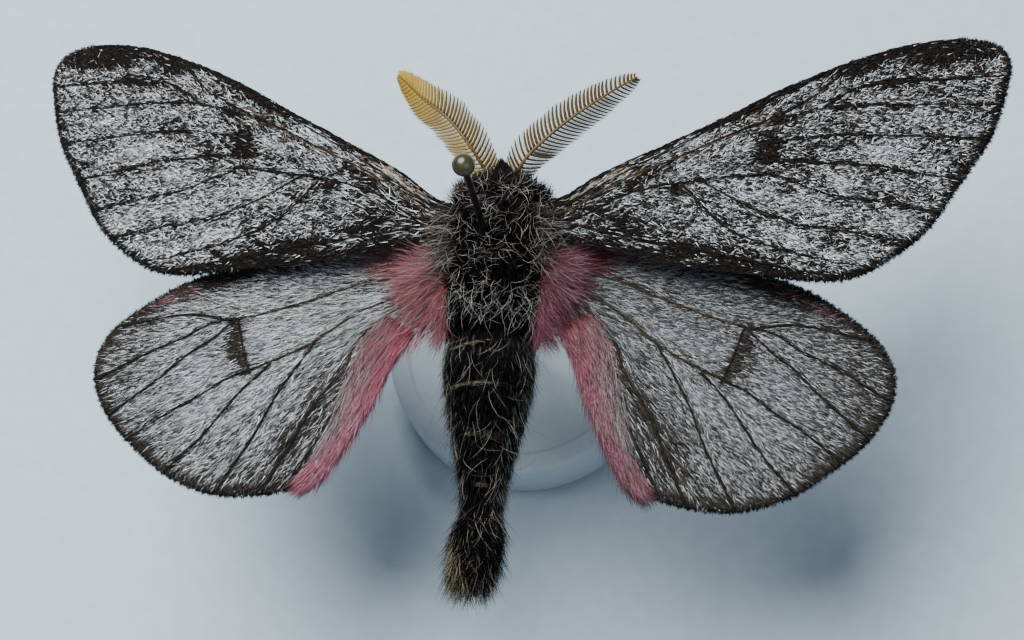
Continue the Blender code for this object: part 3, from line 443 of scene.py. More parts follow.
def body_at(y, angle, grow=0.0):
    """Points of the body's surface at y and at an angle round it, and the way out there."""
    table = np.array(sorted(BODY_SECTIONS))
    half_width, half_height, middle = (np.interp(y, table[:, 0], table[:, k]) for k in (1, 2, 3))
    sway = np.interp(y, *np.array(SWAY).T)
    x = (half_width + grow) * np.cos(angle)
    z = (half_height + grow) * np.sin(angle)
    out = unit(np.stack([np.cos(angle) / half_width, 0 * y, np.sin(angle) / half_height], axis=1))
    return placed(np.stack([sway + x, y, middle + z], axis=1)), out


def body_unwrap(angle, y):
    """Places on the body's unwrap, which goes round it and along it."""
    low, high = UNWRAP_SPAN
    return np.stack([(angle / (2 * math.pi)) % 1.0, (y - low) / (high - low)], axis=1)


def mesh_piece(name, points, triangles):
    """A smooth-shaded mesh object from points in millimetres and triangles."""
    points, triangles = np.asarray(points, float), np.asarray(triangles, np.int32)
    mesh = bpy.data.meshes.new(name)
    mesh.vertices.add(len(points))
    mesh.vertices.foreach_set("co", (points * MM).ravel())
    mesh.loops.add(triangles.size)
    mesh.loops.foreach_set("vertex_index", triangles.ravel())
    mesh.polygons.add(len(triangles))
    mesh.polygons.foreach_set("loop_start", np.arange(0, triangles.size, 3, dtype=np.int32))
    mesh.polygons.foreach_set("use_smooth", np.ones(len(triangles), bool))
    mesh.update(calc_edges=True)
    obj = bpy.data.objects.new(name, mesh)
    bpy.context.scene.collection.objects.link(obj)
    return obj


def paint(obj, colours):
    """Keeps one colour for each point in the attribute that the materials read."""
    values = np.concatenate([colours, np.ones((len(colours), 1))], axis=1)
    layer = obj.data.attributes.new("marking", "FLOAT_COLOR", "POINT")
    layer.data.foreach_set("color", values.astype(np.float32).ravel())


# A blade's cross-section, and its rings from the root: how far along and how wide. Its tip is a point.
BLADE_CORNERS = ((-0.5, 0.0), (0.5, 0.0), (0.0, 0.4))
SCALE = ((0.0, 1.0),)
HAIR = ((0.0, 0.9), (0.5, 0.85))
CURVED_HAIR = ((0.0, 0.8), (0.25, 1.0), (0.5, 0.95), (0.76, 0.7))
# How the body's hairs grow: rise from the skin, lengths, widths, rings, curl, sway and stray.
COATS = {
    "thorax": ((0.35, 0.7), (1.0, 1.7), (0.09, 0.155), HAIR, (-0.3, 0.05), (-0.25, 0.25), 0.24),
    "thorax_loose": ((0.02, 0.4), (0.6, 1.4), (0.014, 0.023), CURVED_HAIR, (-0.25, 0.05), (0, 0), 0.1),
    "cape": ((0.12, 0.42), (1.1, 2.1), (0.02, 0.034), CURVED_HAIR, (-0.3, -0.05), (-0.9, 0.9), 0.34),
    "abdomen": ((0.1, 0.3), (0.8, 1.4), (0.08, 0.14), HAIR, (-0.22, -0.02), (-0.15, 0.15), 0.1),
    "flanks": ((0.3, 0.75), (0.9, 1.7), (0.03, 0.05), HAIR, (-0.3, 0.0), (-0.2, 0.2), 0.16),
    "abdomen_loose": ((0.1, 0.3), (1.2, 2.6), (0.016, 0.028), CURVED_HAIR, (-0.2, -0.08), (-0.8, 0.8), 0.12),
    "tail": ((0.0, 0.22), (1.2, 2.8), (0.03, 0.056), HAIR, (-0.22, 0.05), (-0.35, 0.35), 0.13),
    "tail_loose": ((0.2, 0.45), (1.5, 3.0), (0.014, 0.023), CURVED_HAIR, (-0.2, -0.05), (-0.6, 0.6), 0.2),
    "head": ((0.5, 1.1), (0.7, 1.35), (0.05, 0.1), HAIR, (-0.25, 0.1), (-0.3, 0.3), 0.24),
    "head_loose": ((0.1, 0.5), (0.7, 1.4), (0.018, 0.03), CURVED_HAIR, (-0.3, 0.0), (-0.6, 0.6), 0.12),
}
# The size of one blade's place on the unwrap.
PATCH = 0.003


def blades(name, blade):
    """One mesh of closed, tapering blades, from arrays with a row for each blade.

    blade holds roots, ways, faces, lengths, widths, rings, curl, sway, colours, tips and unwrap.
    """
    ways = unit(blade["ways"])
    across = unit(np.cross(ways, blade["faces"]))
    faces = np.cross(across, ways)
    count = len(ways)
    length, width = (np.broadcast_to(blade[k], count)[:, None] for k in ("lengths", "widths"))
    curl, sway = (np.broadcast_to(blade.get(k, 0.0), count)[:, None] for k in ("curl", "sway"))
    points, colours, unwrap = [], [], []
    for share, wide in (*blade["rings"], (1.0, 0.0)):
        bend = length * share**2
        middle = blade["roots"] + ways * length * share + faces * curl * bend + across * sway * bend
        for sideways, up in BLADE_CORNERS if wide else ((0.0, 0.0),):
            points.append(middle + width * wide * (across * sideways + faces * up))
            colours.append(blade["colours"] * (1 - share) + blade["tips"] * share)
            unwrap.append(blade["unwrap"] + (sideways * PATCH, (share - 0.5) * PATCH))
    per_blade = len(points)
    ring_count = len(blade["rings"])
    pattern = [(0, 1, 2)]
    for r in range(ring_count - 1):
        back, front = 3 * r, 3 + 3 * r
        for k in range(3):
            n = (k + 1) % 3
            pattern += [(back + k, front + k, front + n), (back + k, front + n, back + n)]
    last = 3 * ring_count - 3
    pattern += [(last + k, per_blade - 1, last + (k + 1) % 3) for k in range(3)]
    triangles = (np.arange(count)[:, None, None] * per_blade + np.array(pattern)).reshape(-1, 3)
    obj = mesh_piece(name, np.stack(points, axis=1).reshape(-1, 3), triangles)
    paint(obj, np.stack(colours, axis=1).reshape(-1, 3))
    corners = np.stack(unwrap, axis=1).reshape(-1, 2)[triangles.ravel()]
    layer = obj.data.uv_layers.new(name="OFBake")
    layer.data.foreach_set("uv", corners.astype(np.float32).ravel())
    return obj


def merged(*groups):
    """Several groups of blades as one."""
    first = groups[0]
    whole = {"rings": first["rings"]}
    for key in ("roots", "ways", "faces", "lengths", "widths", "curl", "sway", "colours", "tips", "unwrap"):
        rows = []
        for group in groups:
            count = len(group["roots"])
            value = np.asarray(group.get(key, 0.0), float)
            rows.append(value if value.ndim and len(value) == count else np.full(count, float(value)))
        whole[key] = np.concatenate(rows)
    return whole


def varied(rng, colour, count, spread):
    """Like colours that differ in brightness."""
    return np.asarray(colour)[None] * rng.uniform(1 - spread, 1 + spread, (count, 1))


def mix(first, second, share):
    """Colours between the first and the second, by a share for each row."""
    share = np.clip(share, 0, 1)[:, None]
    return np.asarray(first) * (1 - share) + np.asarray(second) * share


class Tree:
    """A short way to build one material's nodes."""

    def __init__(self, name):
        self.material = bpy.data.materials.new(name)
        self.material.use_nodes = True
        self.nodes = self.material.node_tree.nodes
        self.links = self.material.node_tree.links
        self.shader = self.nodes["Principled BSDF"]

    def put(self, socket, value):
        """Links a value that comes from another node, or sets a plain one."""
        if isinstance(value, bpy.types.NodeSocket):
            self.links.new(value, socket)
        else:
            socket.default_value = value

    def node(self, kind, inputs=(), **settings):
        made = self.nodes.new("ShaderNode" + kind)
        for key, value in settings.items():
            setattr(made, key, value)
        for key, value in dict(inputs).items():
            self.put(made.inputs[key], value)
        return made

    def noise(self, scale, detail):
        """Noise from 0 to 1 in the piece's own coordinates."""
        place = self.node("TexCoord").outputs["Object"]
        made = self.node("TexNoise", {"Vector": place, "Scale": scale, "Detail": detail})
        return made.outputs["Fac"]

    def between(self, value, low, high):
        """A value from 0 to 1 as one from low to high."""
        made = self.node("MapRange", {"Value": value, "To Min": low, "To Max": high})
        return made.outputs["Result"]

    def ramp(self, value, low_at, low, high_at, high):
        """One colour up to a level of the value, another from a higher level on."""
        made = self.node("ValToRGB", {"Fac": value})
        for stop, level, colour in zip(made.color_ramp.elements, (low_at, high_at), (low, high)):
            stop.position = level
            stop.color = (*colour, 1)
        return made.outputs["Color"]

    def marking(self, brightness):
        """The colours of the piece's own marking, made brighter or darker."""
        colour = self.node("Attribute", attribute_name="marking").outputs["Color"]
        made = self.node("VectorMath", {0: colour, "Scale": brightness}, operation="SCALE")
        return made.outputs["Vector"]

    def bump(self, height, distance, strength=1.0):
        made = self.node("Bump", {"Height": height, "Distance": distance, "Strength": strength})
        return made.outputs["Normal"]

    def finish(self, **values):
        for key, value in values.items():
            self.put(self.shader.inputs[key.replace("_", " ")], value)
        return self.material


def marked_material(name, roughness, grain, specular):
    """Scales, hair or membrane in the colours of the marking, with fine unevenness over them."""
    tree = Tree(name)
    fine = tree.noise(5200.0, 2.0)
    return tree.finish(
        Base_Color=tree.marking(tree.between(fine, 1 - grain, 1 + grain)), Roughness=roughness,
        Normal=tree.bump(fine, 0.00002, 0.5), Specular_IOR_Level=specular,
    )


def skin_material():
    """Black, finely wrinkled horn that shows only between hairs."""
    tree = Tree("body_skin")
    wrinkles = tree.noise(2600.0, 5.0)
    return tree.finish(
        Base_Color=tree.marking(tree.between(wrinkles, 0.6, 1.2)), Roughness=0.6,
        Normal=tree.bump(wrinkles, 0.00006), Specular_IOR_Level=0.3,
    )


def horn_material(name, light, dark, roughness):
    """Horn with light and dark streaks."""
    tree = Tree(name)
    streaks = tree.noise(1900.0, 3.0)
    return tree.finish(
        Base_Color=tree.ramp(streaks, 0.32, dark, 0.62, light), Roughness=roughness,
        Normal=tree.bump(streaks, 0.00003), Specular_IOR_Level=0.2,
    )


def eye_material(name):
    """A glossy dark eye of many small facets."""
    tree = Tree(name)
    place = tree.node("TexCoord").outputs["Object"]
    cells = tree.node("TexVoronoi", {"Vector": place, "Scale": 17000.0}, feature="DISTANCE_TO_EDGE")
    edges = cells.outputs["Distance"]
    return tree.finish(
        Base_Color=tree.ramp(edges, 0.0, (0.02, 0.012, 0.007), 0.2, (0.004, 0.003, 0.0025)),
        Roughness=0.3, Normal=tree.bump(edges, 0.000004), Coat_Weight=0.25, Coat_Roughness=0.1,
    )


def enamel_material():
    """Black pin enamel with slight wear."""
    tree = Tree("pin_enamel")
    wear = tree.noise(900.0, 6.0)
    return tree.finish(
        Base_Color=tree.ramp(wear, 0.45, (0.003, 0.003, 0.004), 0.75, (0.012, 0.012, 0.013)),
        Roughness=tree.between(wear, 0.18, 0.42), Specular_IOR_Level=0.25,
    )


def brass_material():
    """The lacquered, darkened olive brass of the pin's head."""
    tree = Tree("pin_brass")
    cloud = tree.noise(1500.0, 4.0)
    return tree.finish(
        Base_Color=tree.ramp(cloud, 0.35, (0.014, 0.013, 0.005), 0.68, (0.055, 0.05, 0.018)),
        Metallic=0.45, Roughness=0.38, Normal=tree.bump(cloud, 0.00002, 0.4), Coat_Weight=0.4,
        Coat_Roughness=0.22,
    )


def painted_material(name, colour, size, depth):
    """Matt paint or card with a fine grain."""
    tree = Tree(name)
    grain = tree.noise(size, 4.0)
    low = tuple(channel * 0.93 for channel in colour)
    return tree.finish(
        Base_Color=tree.ramp(grain, 0.35, low, 0.65, colour), Roughness=0.75,
        Normal=tree.bump(grain, depth),
    )


def shared_material(name, make, *values):
    """The material of that name, made from these values the first time."""
    found = bpy.data.materials.get(name)
    return found if found else make(name, *values)


def marked(name):
    return shared_material(name, marked_material, *MARKED[name])


def leg_horn():
    return shared_material("leg_horn", horn_material, (0.05, 0.03, 0.02), (0.012, 0.009, 0.008), 0.45)


def finished(obj, material, slot, *nodes):
    """Gives a piece its finish and its place in the frame, in place of CAD nodes if any are named."""
    obj.data.materials.clear()
    obj.data.materials.append(material)
    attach(obj, "root")
    if nodes:
        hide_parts(*nodes)


def coat(name, blade, finish, slot):
    """Makes a piece of scales or hairs and finishes it."""
    finished(blades(name, blade), marked(finish), slot)


def deselect():
    if bpy.context.mode != "OBJECT":
        bpy.ops.object.mode_set(mode="OBJECT")
    bpy.ops.object.select_all(action="DESELECT")


def settle(obj, name):
    """Names the piece and moves its place into its mesh."""
    deselect()
    obj.select_set(True)
    bpy.context.view_layer.objects.active = obj
    bpy.ops.object.transform_apply(location=True, rotation=True, scale=True)
    obj.name = name
    obj.data.name = name
    return obj


def applied(obj, kind, **settings):
    """Adds a modifier with these settings and applies it."""
    modifier = obj.modifiers.new(kind.lower(), kind)
    for key, value in settings.items():
        setattr(modifier, key, value)
    bpy.context.view_layer.objects.active = obj
    bpy.ops.object.modifier_apply(modifier=modifier.name)


def pick_faces(obj, test):
    """Selects, in edit mode, the faces whose middle and normal pass the test."""
    bpy.ops.object.mode_set(mode="EDIT")
    bpy.ops.mesh.select_mode(type="FACE")
    bpy.ops.mesh.select_all(action="DESELECT")
    bpy.ops.object.mode_set(mode="OBJECT")
    for face in obj.data.polygons:
        face.select = test(face.center, face.normal)
    bpy.ops.object.mode_set(mode="EDIT")


def build_stand(colours):
    """The round stand: a turned block with a soft upper edge, a shallow step and the pin's hole."""
    deselect()
    radius, height = BASE_RADIUS * MM, BASE_HEIGHT * MM
    bevel, rim, step, hole, floor = 0.0006, 0.0009, 0.0003, 0.00045, 0.0008
    bpy.ops.mesh.primitive_cylinder_add(
        vertices=96, radius=radius, depth=height, location=(0, 0, height / 2)
    )
    base = settle(bpy.context.object, "stand")
    applied(base, "BEVEL", width=bevel, segments=4, limit_method="ANGLE")
    pick_faces(base, lambda middle, normal: normal.z > 0.99)
    bpy.ops.mesh.inset(thickness=rim)
    bpy.ops.mesh.inset(thickness=step, depth=-0.00025)
    bpy.ops.mesh.inset(thickness=radius - bevel - rim - step - hole)
    bpy.ops.mesh.extrude_region_move(TRANSFORM_OT_translate={"value": (0, 0, floor - height)})
    bpy.ops.object.mode_set(mode="OBJECT")
    bpy.ops.object.shade_smooth_by_angle(angle=math.radians(35))
    paint_finish = painted_material("stand_paint", tuple(colours.paint), 900.0, 0.00003)
    finished(base, paint_finish, "stand", "stand_base")


def build_pin(sizes):
    """The pin: a thin enamelled shaft that tapers to its point, and a lacquered round head."""
    deselect()
    low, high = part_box("pin_head")
    top, tip = low.z + 0.0001, PIN_TIP_Z * MM
    point, blunt, neck = 0.003, 0.12, 0.00022
    bpy.ops.mesh.primitive_cylinder_add(
        vertices=20, radius=sizes.pin_radius, depth=top - tip - point,
        location=(0, 0, (top + tip + point) / 2),
    )
    shaft = settle(bpy.context.object, "pin_shaft_enamelled")
    pick_faces(shaft, lambda middle, normal: normal.z < -0.9)
    bpy.ops.mesh.extrude_region_move(TRANSFORM_OT_translate={"value": (0, 0, -point)})
    bpy.ops.transform.resize(value=(blunt, blunt, 1))
    bpy.ops.object.mode_set(mode="OBJECT")
    bpy.ops.object.shade_smooth_by_angle(angle=math.radians(50))
    finished(shaft, enamel_material(), "pin", "pin_shaft")

    deselect()
    size = (high.z - low.z) / 2
    bpy.ops.mesh.primitive_uv_sphere_add(
        segments=40, ring_count=24, radius=size, location=(0, 0, low.z + size)
    )
    head = settle(bpy.context.object, "pin_head_round")
    pick_faces(head, lambda middle, normal: normal.z < -0.985)
    bpy.ops.mesh.extrude_region_move(TRANSFORM_OT_translate={"value": (0, 0, -neck)})
    bpy.ops.object.mode_set(mode="OBJECT")
    bpy.ops.object.shade_smooth()
    finished(head, brass_material(), "pin_head", "pin_head")


def closest_vein(veins, plan):
    """Distance of flat points to the closest vein and its direction there."""
    vein = np.full(len(plan), 1e9)
    ways = np.zeros((len(plan), 2))
    for name, points in veins.items():
        if name != "cell_end":
            gap, way, _ = nearest(smooth_line(points, VEIN_STEP), plan)
            closer = gap < vein
            vein[closer], ways[closer] = gap[closer], way[closer]
    return vein, ways


def forewing_marks(plan):
    """Shares of pale, tan and cream scales over the forewing, and how near the veins are."""
    x, y = plan[:, 0], plan[:, 1]
    pale = 0.41 + 0.28 * patchy(x, y, 2.6, 0.9, 3.1) + 0.22 * patchy(x, y, 0.9, 0.45, 8.4)
    pale += 0.85 * patches(FOREWING_PATCHES, x, y)
    vein, ways = closest_vein(FOREWING_VEINS, plan)
    outer = np.clip((x - 7) / 8, 0.25, 1)
    pale -= 0.34 * outer * np.exp(-((vein / 0.17) ** 2))
    outline = smooth_line(FOREWING_EDGE, VEIN_STEP, closed=True)
    rim, rim_ways, _ = nearest(np.vstack([outline, outline[:1]]), plan)
    front = y > 0.42 * x + 0.3
    band = np.interp(x, (2, 17, 20, 23, 26, 30), (0.28, 0.3, 0.5, 1.0, 1.5, 1.3))
    pale -= np.where(front, 1.2, 0.6) * np.exp(-((rim / np.where(front, band, 0.42)) ** 2))
    pale = np.clip(pale, 0.02, 0.93) * np.clip((x + 3) / 9, 0.3, 1)
    stem = nearest(smooth_line(FOREWING_VEINS["radius"], VEIN_STEP), plan)[0]
    tan = 0.4 * np.exp(-((stem / 0.15) ** 2)) * (x < 10) + patches(TAN_PATCHES, x, y)
    tan += 0.02 + 0.09 * patchy(x, y, 1.8, 1.1, 5.7)
    tan = tan * (1 - 0.9 * front * np.exp(-((rim / band) ** 2)))
    cream = patches(CREAM_PATCHES, x, y)
    return {
        "pale": np.clip(pale, 0.02, 0.9), "tan": np.clip(tan, 0, 0.8), "cream": np.clip(cream, 0, 0.85),
        "rose": np.zeros(len(x)), "vein": vein, "ways": ways, "rim": rim, "rim_ways": rim_ways,
    }


def hindwing_marks(plan):
    """The same for the hindwing, whose tan share is its olive stems."""
    x, y = plan[:, 0], plan[:, 1]
    reach = np.hypot(x, y)
    turn = np.arctan2(y, x)
    pale = 0.7 + 0.12 * patchy(reach, turn * 9, 5.0, 1.0, 2.2) + 0.1 * patchy(x, y, 1.2, 1.2, 9.3)
    pale += patches(HINDWING_PATCHES, x, y)
    vein, ways = closest_vein(HINDWING_VEINS, plan)
    pale -= 0.3 * np.exp(-((vein / 0.16) ** 2))
    bar = nearest(smooth_line(HINDWING_VEINS["cell_end"], 0.2), plan)[0]
    pale -= 0.9 * np.exp(-((bar / 0.34) ** 2))
    outline = smooth_line(HINDWING_EDGE, VEIN_STEP, closed=True)
    rim, rim_ways, _ = nearest(np.vstack([outline, outline[:1]]), plan)
    outer_rim = np.where(x > 5.5, rim, 9.0)
    pale -= 0.8 * np.exp(-((outer_rim / 0.6) ** 2)) + 0.28 * np.exp(-((outer_rim / 2.2) ** 2))
    rose = patches(ROSE_PATCHES, x, y)
    return {
        "pale": np.clip(pale, 0.03, 0.9), "tan": np.zeros(len(x)), "cream": np.zeros(len(x)),
        "rose": np.clip(rose, 0, 0.5), "vein": vein, "ways": ways, "rim": rim, "rim_ways": rim_ways,
    }


def wing_of(kind, side_name):
    """A wing's outline, its veins, how it is set and its side."""
    edge, veins, settings = WINGS[kind]
    return edge, veins, settings[side_name], SIDES[side_name]


MARKS = {"forewing": forewing_marks, "hindwing": hindwing_marks}


def kind_colours(kind, colours):
    """The dark, pale, tan, cream and rose colours of a wing."""
    if kind == "forewing":
        ground, stem = colours.dark, colours.tan
    else:
        ground, stem = colours.smoke, colours.olive
    return {
        "dark": np.array(ground), "pale": np.array(colours.pale), "tan": np.array(stem),
        "cream": np.array(colours.cream), "rose": np.array(colours.rose) * 0.6 + 0.12,
    }


def scale_colours(kind, marks, colours, rng, painted_light_gain=1.0):
    """Draws the colour of each scale from the shares that the marking gives."""
    shades = kind_colours(kind, colours)
    count = len(marks["pale"])
    drawn = varied(rng, shades["dark"], count, 0.6)
    white = rng.random(count) < marks["pale"]
    low, high = (0.1, 1.3) if kind == "forewing" else (0.08, 0.7)
    grey_level = rng.uniform(low, high, (count, 1))
    # Pale scales times the painted light gain: above 1 they are painted lighter, as painted light.
    drawn[white] = (shades["pale"][None] * grey_level * painted_light_gain)[white]
    for key in ("tan", "cream", "rose"):
        share = marks[key] * np.where(white & (key == "tan"), 0.4, 1.0)
        taken = rng.random(count) < share
        drawn[taken] = (shades[key][None] * rng.uniform(0.35, 1.2, (count, 1)))[taken]
    return drawn


def mean_colours(kind, marks, colours):
    """The colour that the bare membrane has under its scales."""
    shades = kind_colours(kind, colours)
    ground = mix(shades["dark"], shades["pale"], marks["pale"] * 0.35)
    for key in ("tan", "cream", "rose"):
        ground = mix(ground, shades[key], marks[key] * 0.5)
    return ground


def wing_mesh(kind, side_name, sizes, colours):
    """The bare wing: a thin membrane with its veins raised on both faces."""
    edge, veins, setting, side = wing_of(kind, side_name)
    outline = smooth_line(edge, OUTLINE_STEP, closed=True)
    rim = np.vstack([outline, outline[:1]])
    centres = [smooth_line(line, 0.9) for line in veins.values()]
    points = list(outline)
    edges = [(k, (k + 1) % len(outline)) for k in range(len(outline))]
    for centre in centres:
        way = unit(np.gradient(centre, axis=0))
        for offset in (0.0, VEIN_HALF, -VEIN_HALF):
            line = centre + offset * left_of(way)
            keep = inside(outline, line) & (nearest(rim, line)[0] > 0.15)
            line = line[keep]
            first = len(points)
            points += list(line)
            edges += [(first + k, first + k + 1) for k in range(len(line) - 1)]
    low, high = outline.min(axis=0), outline.max(axis=0)
    columns, lines = (np.arange(low[axis], high[axis], GRID_STEP) for axis in (0, 1))
    grid = np.stack(np.meshgrid(columns, lines), -1).reshape(-1, 2)
    grid = grid[inside(outline, grid)]
    clear = nearest(rim, grid)[0] > 0.3
    for centre in centres:
        clear &= nearest(centre, grid)[0] > 0.35
    points += list(grid[clear])
    made = delaunay_2d_cdt([Vector(p) for p in points], edges, [], 0, 1e-4)
    flat = np.array([tuple(p) for p in made[0]])
    triangles = np.array(made[2])
    triangles = triangles[inside(outline, flat[triangles].mean(axis=1))]
    used, numbered = np.unique(triangles, return_inverse=True)
    flat, triangles = flat[used], numbered.reshape(-1, 3)
    vein = np.min([nearest(centre, flat)[0] for centre in centres], axis=0)
    half = sizes.membrane / MM / 2 + sizes.vein / MM * np.clip(1 - vein / VEIN_HALF, 0, 1)
    top, under = (on_wing(flat, sign * half, setting, side) for sign in (1, -1))
    count = len(flat)
    if side < 0:
        triangles = triangles[:, ::-1]
    directed = {(f[k], f[(k + 1) % 3]) for f in triangles for k in range(3)}
    walls = []
    for a, b in directed:
        if (b, a) not in directed:
            walls += [(b, a, a + count), (b, a + count, b + count)]
    faces = np.vstack([triangles, triangles[:, ::-1] + count, np.array(walls)])
    wing = mesh_piece(f"{kind}_{side_name}_membrane", np.vstack([top, under]), faces)
    shade = mean_colours(kind, MARKS[kind](flat), colours)
    paint(wing, np.vstack([shade, shade]))
    finished(wing, marked("wing_membrane"), kind, f"{kind}_{side_name}")


def random_plan(rng, outline, count):
    """That many flat points spread evenly over the inside of an outline."""
    low, high = outline.min(axis=0), outline.max(axis=0)
    found = np.zeros((0, 2))
    while len(found) < count:
        tries = rng.uniform(low, high, (count, 2))
        found = np.vstack([found, tries[inside(outline, tries)]])
    return found[:count]


def wing_unwrap(plan, face):
    """Places on the wing's unwrap: its upper face in one half and its lower face in the other."""
    return np.stack([0.04 + (plan[:, 0] + 4.5) / 80 + 0.48 * face, (plan[:, 1] + 17) / 40], axis=1)


def wing_scales(kind, side_name, face, count, sizes, colours, rng):
    """Scales over one face of a wing, rooted on its membrane and lying along its veins.

    face is 0 for the upper face and 1 for the lower one.
    """
    edge, _, setting, side = wing_of(kind, side_name)
    outline = smooth_line(edge, OUTLINE_STEP, closed=True)
    plan = random_plan(rng, outline, count)
    marks = MARKS[kind](plan)
    radial = unit(plan - (-4.0, 0.4))
    follow = np.exp(-marks["vein"] / 0.7)[:, None]
    flow = unit(radial * (1 - follow) + facing(marks["ways"], radial) * follow)
    if kind == "forewing":
        stray, length, width = 0.55, sizes.scale_length / MM, 0.065
        base = np.clip(1.6 - plan[:, 0] / 14, 1.0, 1.6)
    else:
        stray, length, width = 0.24, sizes.scale_length / MM * 1.7, 0.052
        base = np.clip(1.9 - plan[:, 0] / 8, 0.85, 1.9)
    stray = stray * np.where(marks["vein"] < 0.2, 0.25, 1.0)
    turn = rng.normal(0, stray, count) if face == 0 else rng.normal(0, 0.15, count)
    flow = flow * np.cos(turn)[:, None] + left_of(flow) * np.sin(turn)[:, None]
    fringed = smooth_line(edge[FRINGED[kind][0]:FRINGED[kind][1]], 0.6)
    on_margin = nearest(fringed, plan)[0] < marks["rim"] + 0.2
    hug = np.exp(-((marks["rim"] / 0.7) ** 2))[:, None] * np.where(on_margin, 0.0, 0.95)[:, None]
    flow = unit(flow * (1 - hug) + facing(marks["rim_ways"], flow) * hug)
    axes = wing_axes(plan[:, 0], setting, side)
    sign = 1.0 if face == 0 else -1.0
    ways = over_wing(axes, flow, sign * rng.uniform(0.02, 0.12, (count, 1)))
    roll = rng.normal(0, 0.25, (count, 1))
    faces = axes[2] * sign + np.cross(ways, axes[2]) * roll
    lengths = length * base * rng.uniform(0.7, 1.3, count)
    room = marks["rim"] + np.where(on_margin, 0.14, 0.4)
    lengths = np.minimum(lengths, np.where(on_margin, room, np.maximum(room, 0.4)))
    lift = rng.uniform(0.03, 0.13, count) + sizes.membrane / MM / 2
    # Painted light: the left wings face the key light on the upper left, so their pale scales are painted
    # lighter than the right wings'.
    painted_light_gain = (1.22 if kind == "forewing" else 1.75) if side < 0 else 1.0
    drawn = scale_colours(kind, marks, colours, rng, painted_light_gain)
    widths = width * rng.uniform(0.7, 1.3, count) * (1.35 if face else 1.0)
    if face:
        lengths = lengths * 1.25
        drawn = drawn * 0.85 + 0.02
    return {
        "roots": on_wing(plan, sign * lift, setting, side), "ways": ways, "faces": faces,
        "lengths": lengths, "widths": widths, "rings": SCALE, "curl": rng.uniform(-0.08, 0.03, count),
        "colours": drawn, "tips": drawn * rng.uniform(0.85, 1.1, (count, 1)),
        "unwrap": wing_unwrap(plan, face),
    }


def fringe_scales(kind, side_name, colours, rng):
    """The scaly fringe on a wing's outer edge, dark with paler tips between the veins."""
    edge, veins, setting, side = wing_of(kind, side_name)
    first, last = FRINGED[kind]
    line = smooth_line(edge[first:last], 0.02)
    count = COUNTS["fringe"]
    spot = rng.integers(1, len(line) - 1, count)
    way = unit(line[spot + 1] - line[spot - 1])
    out = facing(left_of(way), line[spot] - np.mean(edge, axis=0))
    set_in = rng.uniform(0.0, 0.55, count)
    plan = line[spot] - out * set_in[:, None]
    turn = rng.normal(0, 0.24, count)
    out = out * np.cos(turn)[:, None] + way * np.sin(turn)[:, None]
    axes = wing_axes(plan[:, 0], setting, side)
    vein = np.min([nearest(smooth_line(v, VEIN_STEP), plan)[0] for v in veins.values()], axis=0)
    tooth = 0.75 + 0.25 * np.cos(spot * 0.02 / 0.55 * 2 * math.pi)
    frosting = np.clip(vein / 2.6 - 0.12, 0.04, 0.34) * (1.0 if kind == "forewing" else 0.6)
    frosted = rng.random(count) < frosting
    ground = varied(rng, np.array(colours.dark) * 0.9, count, 0.5)
    tips = np.where(frosted[:, None], varied(rng, colours.pale, count, 0.3) * 0.8, ground * 1.4)
    return {
        "roots": on_wing(plan, rng.uniform(-0.1, 0.12, count), setting, side),
        "ways": over_wing(axes, out, rng.normal(0, 0.07, (count, 1))),
        "faces": axes[2], "lengths": set_in + tooth * rng.uniform(0.12, 0.42, count),
        "widths": rng.uniform(0.08, 0.13, count), "rings": SCALE, "curl": rng.normal(0, 0.06, count),
        "colours": ground, "tips": tips, "unwrap": wing_unwrap(plan, 1),
    }


def vein_scales(kind, side_name, colours, rng):
    """Narrow scales that lie along every vein, over the others, golden on the main stems."""
    edge, veins, setting, side = wing_of(kind, side_name)
    if kind == "forewing":
        step, end_share, stray = 0.04, 0.45, 0.03
        dark, golden = np.array(colours.dark) * 1.3, np.array(colours.tan) * 0.6
    else:
        step, end_share, stray = 0.028, 0.85, 0.04
        dark, golden = np.array(colours.smoke) * 0.4, np.array(colours.olive) * 0.6
    plans, flows, tones = [], [], []
    for name, points in veins.items():
        line = smooth_line(points, step)
        line = line[inside(smooth_line(edge, OUTLINE_STEP, closed=True), line)]
        way = unit(np.gradient(line, axis=0))
        kept = rng.random(len(line)) < np.interp(line[:, 0], (6, 16), (1.0, end_share))
        line, way = line[kept], way[kept]
        plans.append(line + left_of(way) * rng.normal(0, stray, (len(line), 1)))
        flows.append(way + left_of(way) * rng.normal(0, 0.06, (len(line), 1)))
        stem, reach = VEIN_STEMS[kind].get(name, (0.0, 1.0))
        share = stem * np.clip((reach - line[:, 0]) / 3, 0, 1)
        tones.append(mix(dark, golden, share) * rng.uniform(0.6, 1.4, (len(line), 1)))
    plan, flow, tone = np.vstack(plans), unit(np.vstack(flows)), np.vstack(tones)
    count = len(plan)
    axes = wing_axes(plan[:, 0], setting, side)
    return {
        "roots": on_wing(plan, rng.uniform(0.19, 0.27, count), setting, side),
        "ways": over_wing(axes, flow), "faces": axes[2], "lengths": rng.uniform(0.35, 0.6, count),
        "widths": rng.uniform(0.035, 0.06, count), "rings": SCALE, "colours": tone,
        "tips": tone, "unwrap": wing_unwrap(plan, 0),
    }


def build_wing_scales(kind, sizes, colours):
    """The upper and lower scales of a pair of wings, the lower piece with the fringe and veins."""
    for number, side_name in enumerate(SIDES):
        rng = np.random.default_rng(SEEDS[kind] + number)
        count = sizes.forewing_scales if kind == "forewing" else sizes.hindwing_scales
        upper = wing_scales(kind, side_name, 0, count, sizes, colours, rng)
        coat(f"{kind}_{side_name}_upper_scales", upper, "wing_scales", kind)
        under = merged(
            wing_scales(kind, side_name, 1, sizes.under_scales, sizes, colours, rng),
            fringe_scales(kind, side_name, colours, rng), vein_scales(kind, side_name, colours, rng),
        )
        coat(f"{kind}_{side_name}_under_scales", under, "wing_scales", kind)


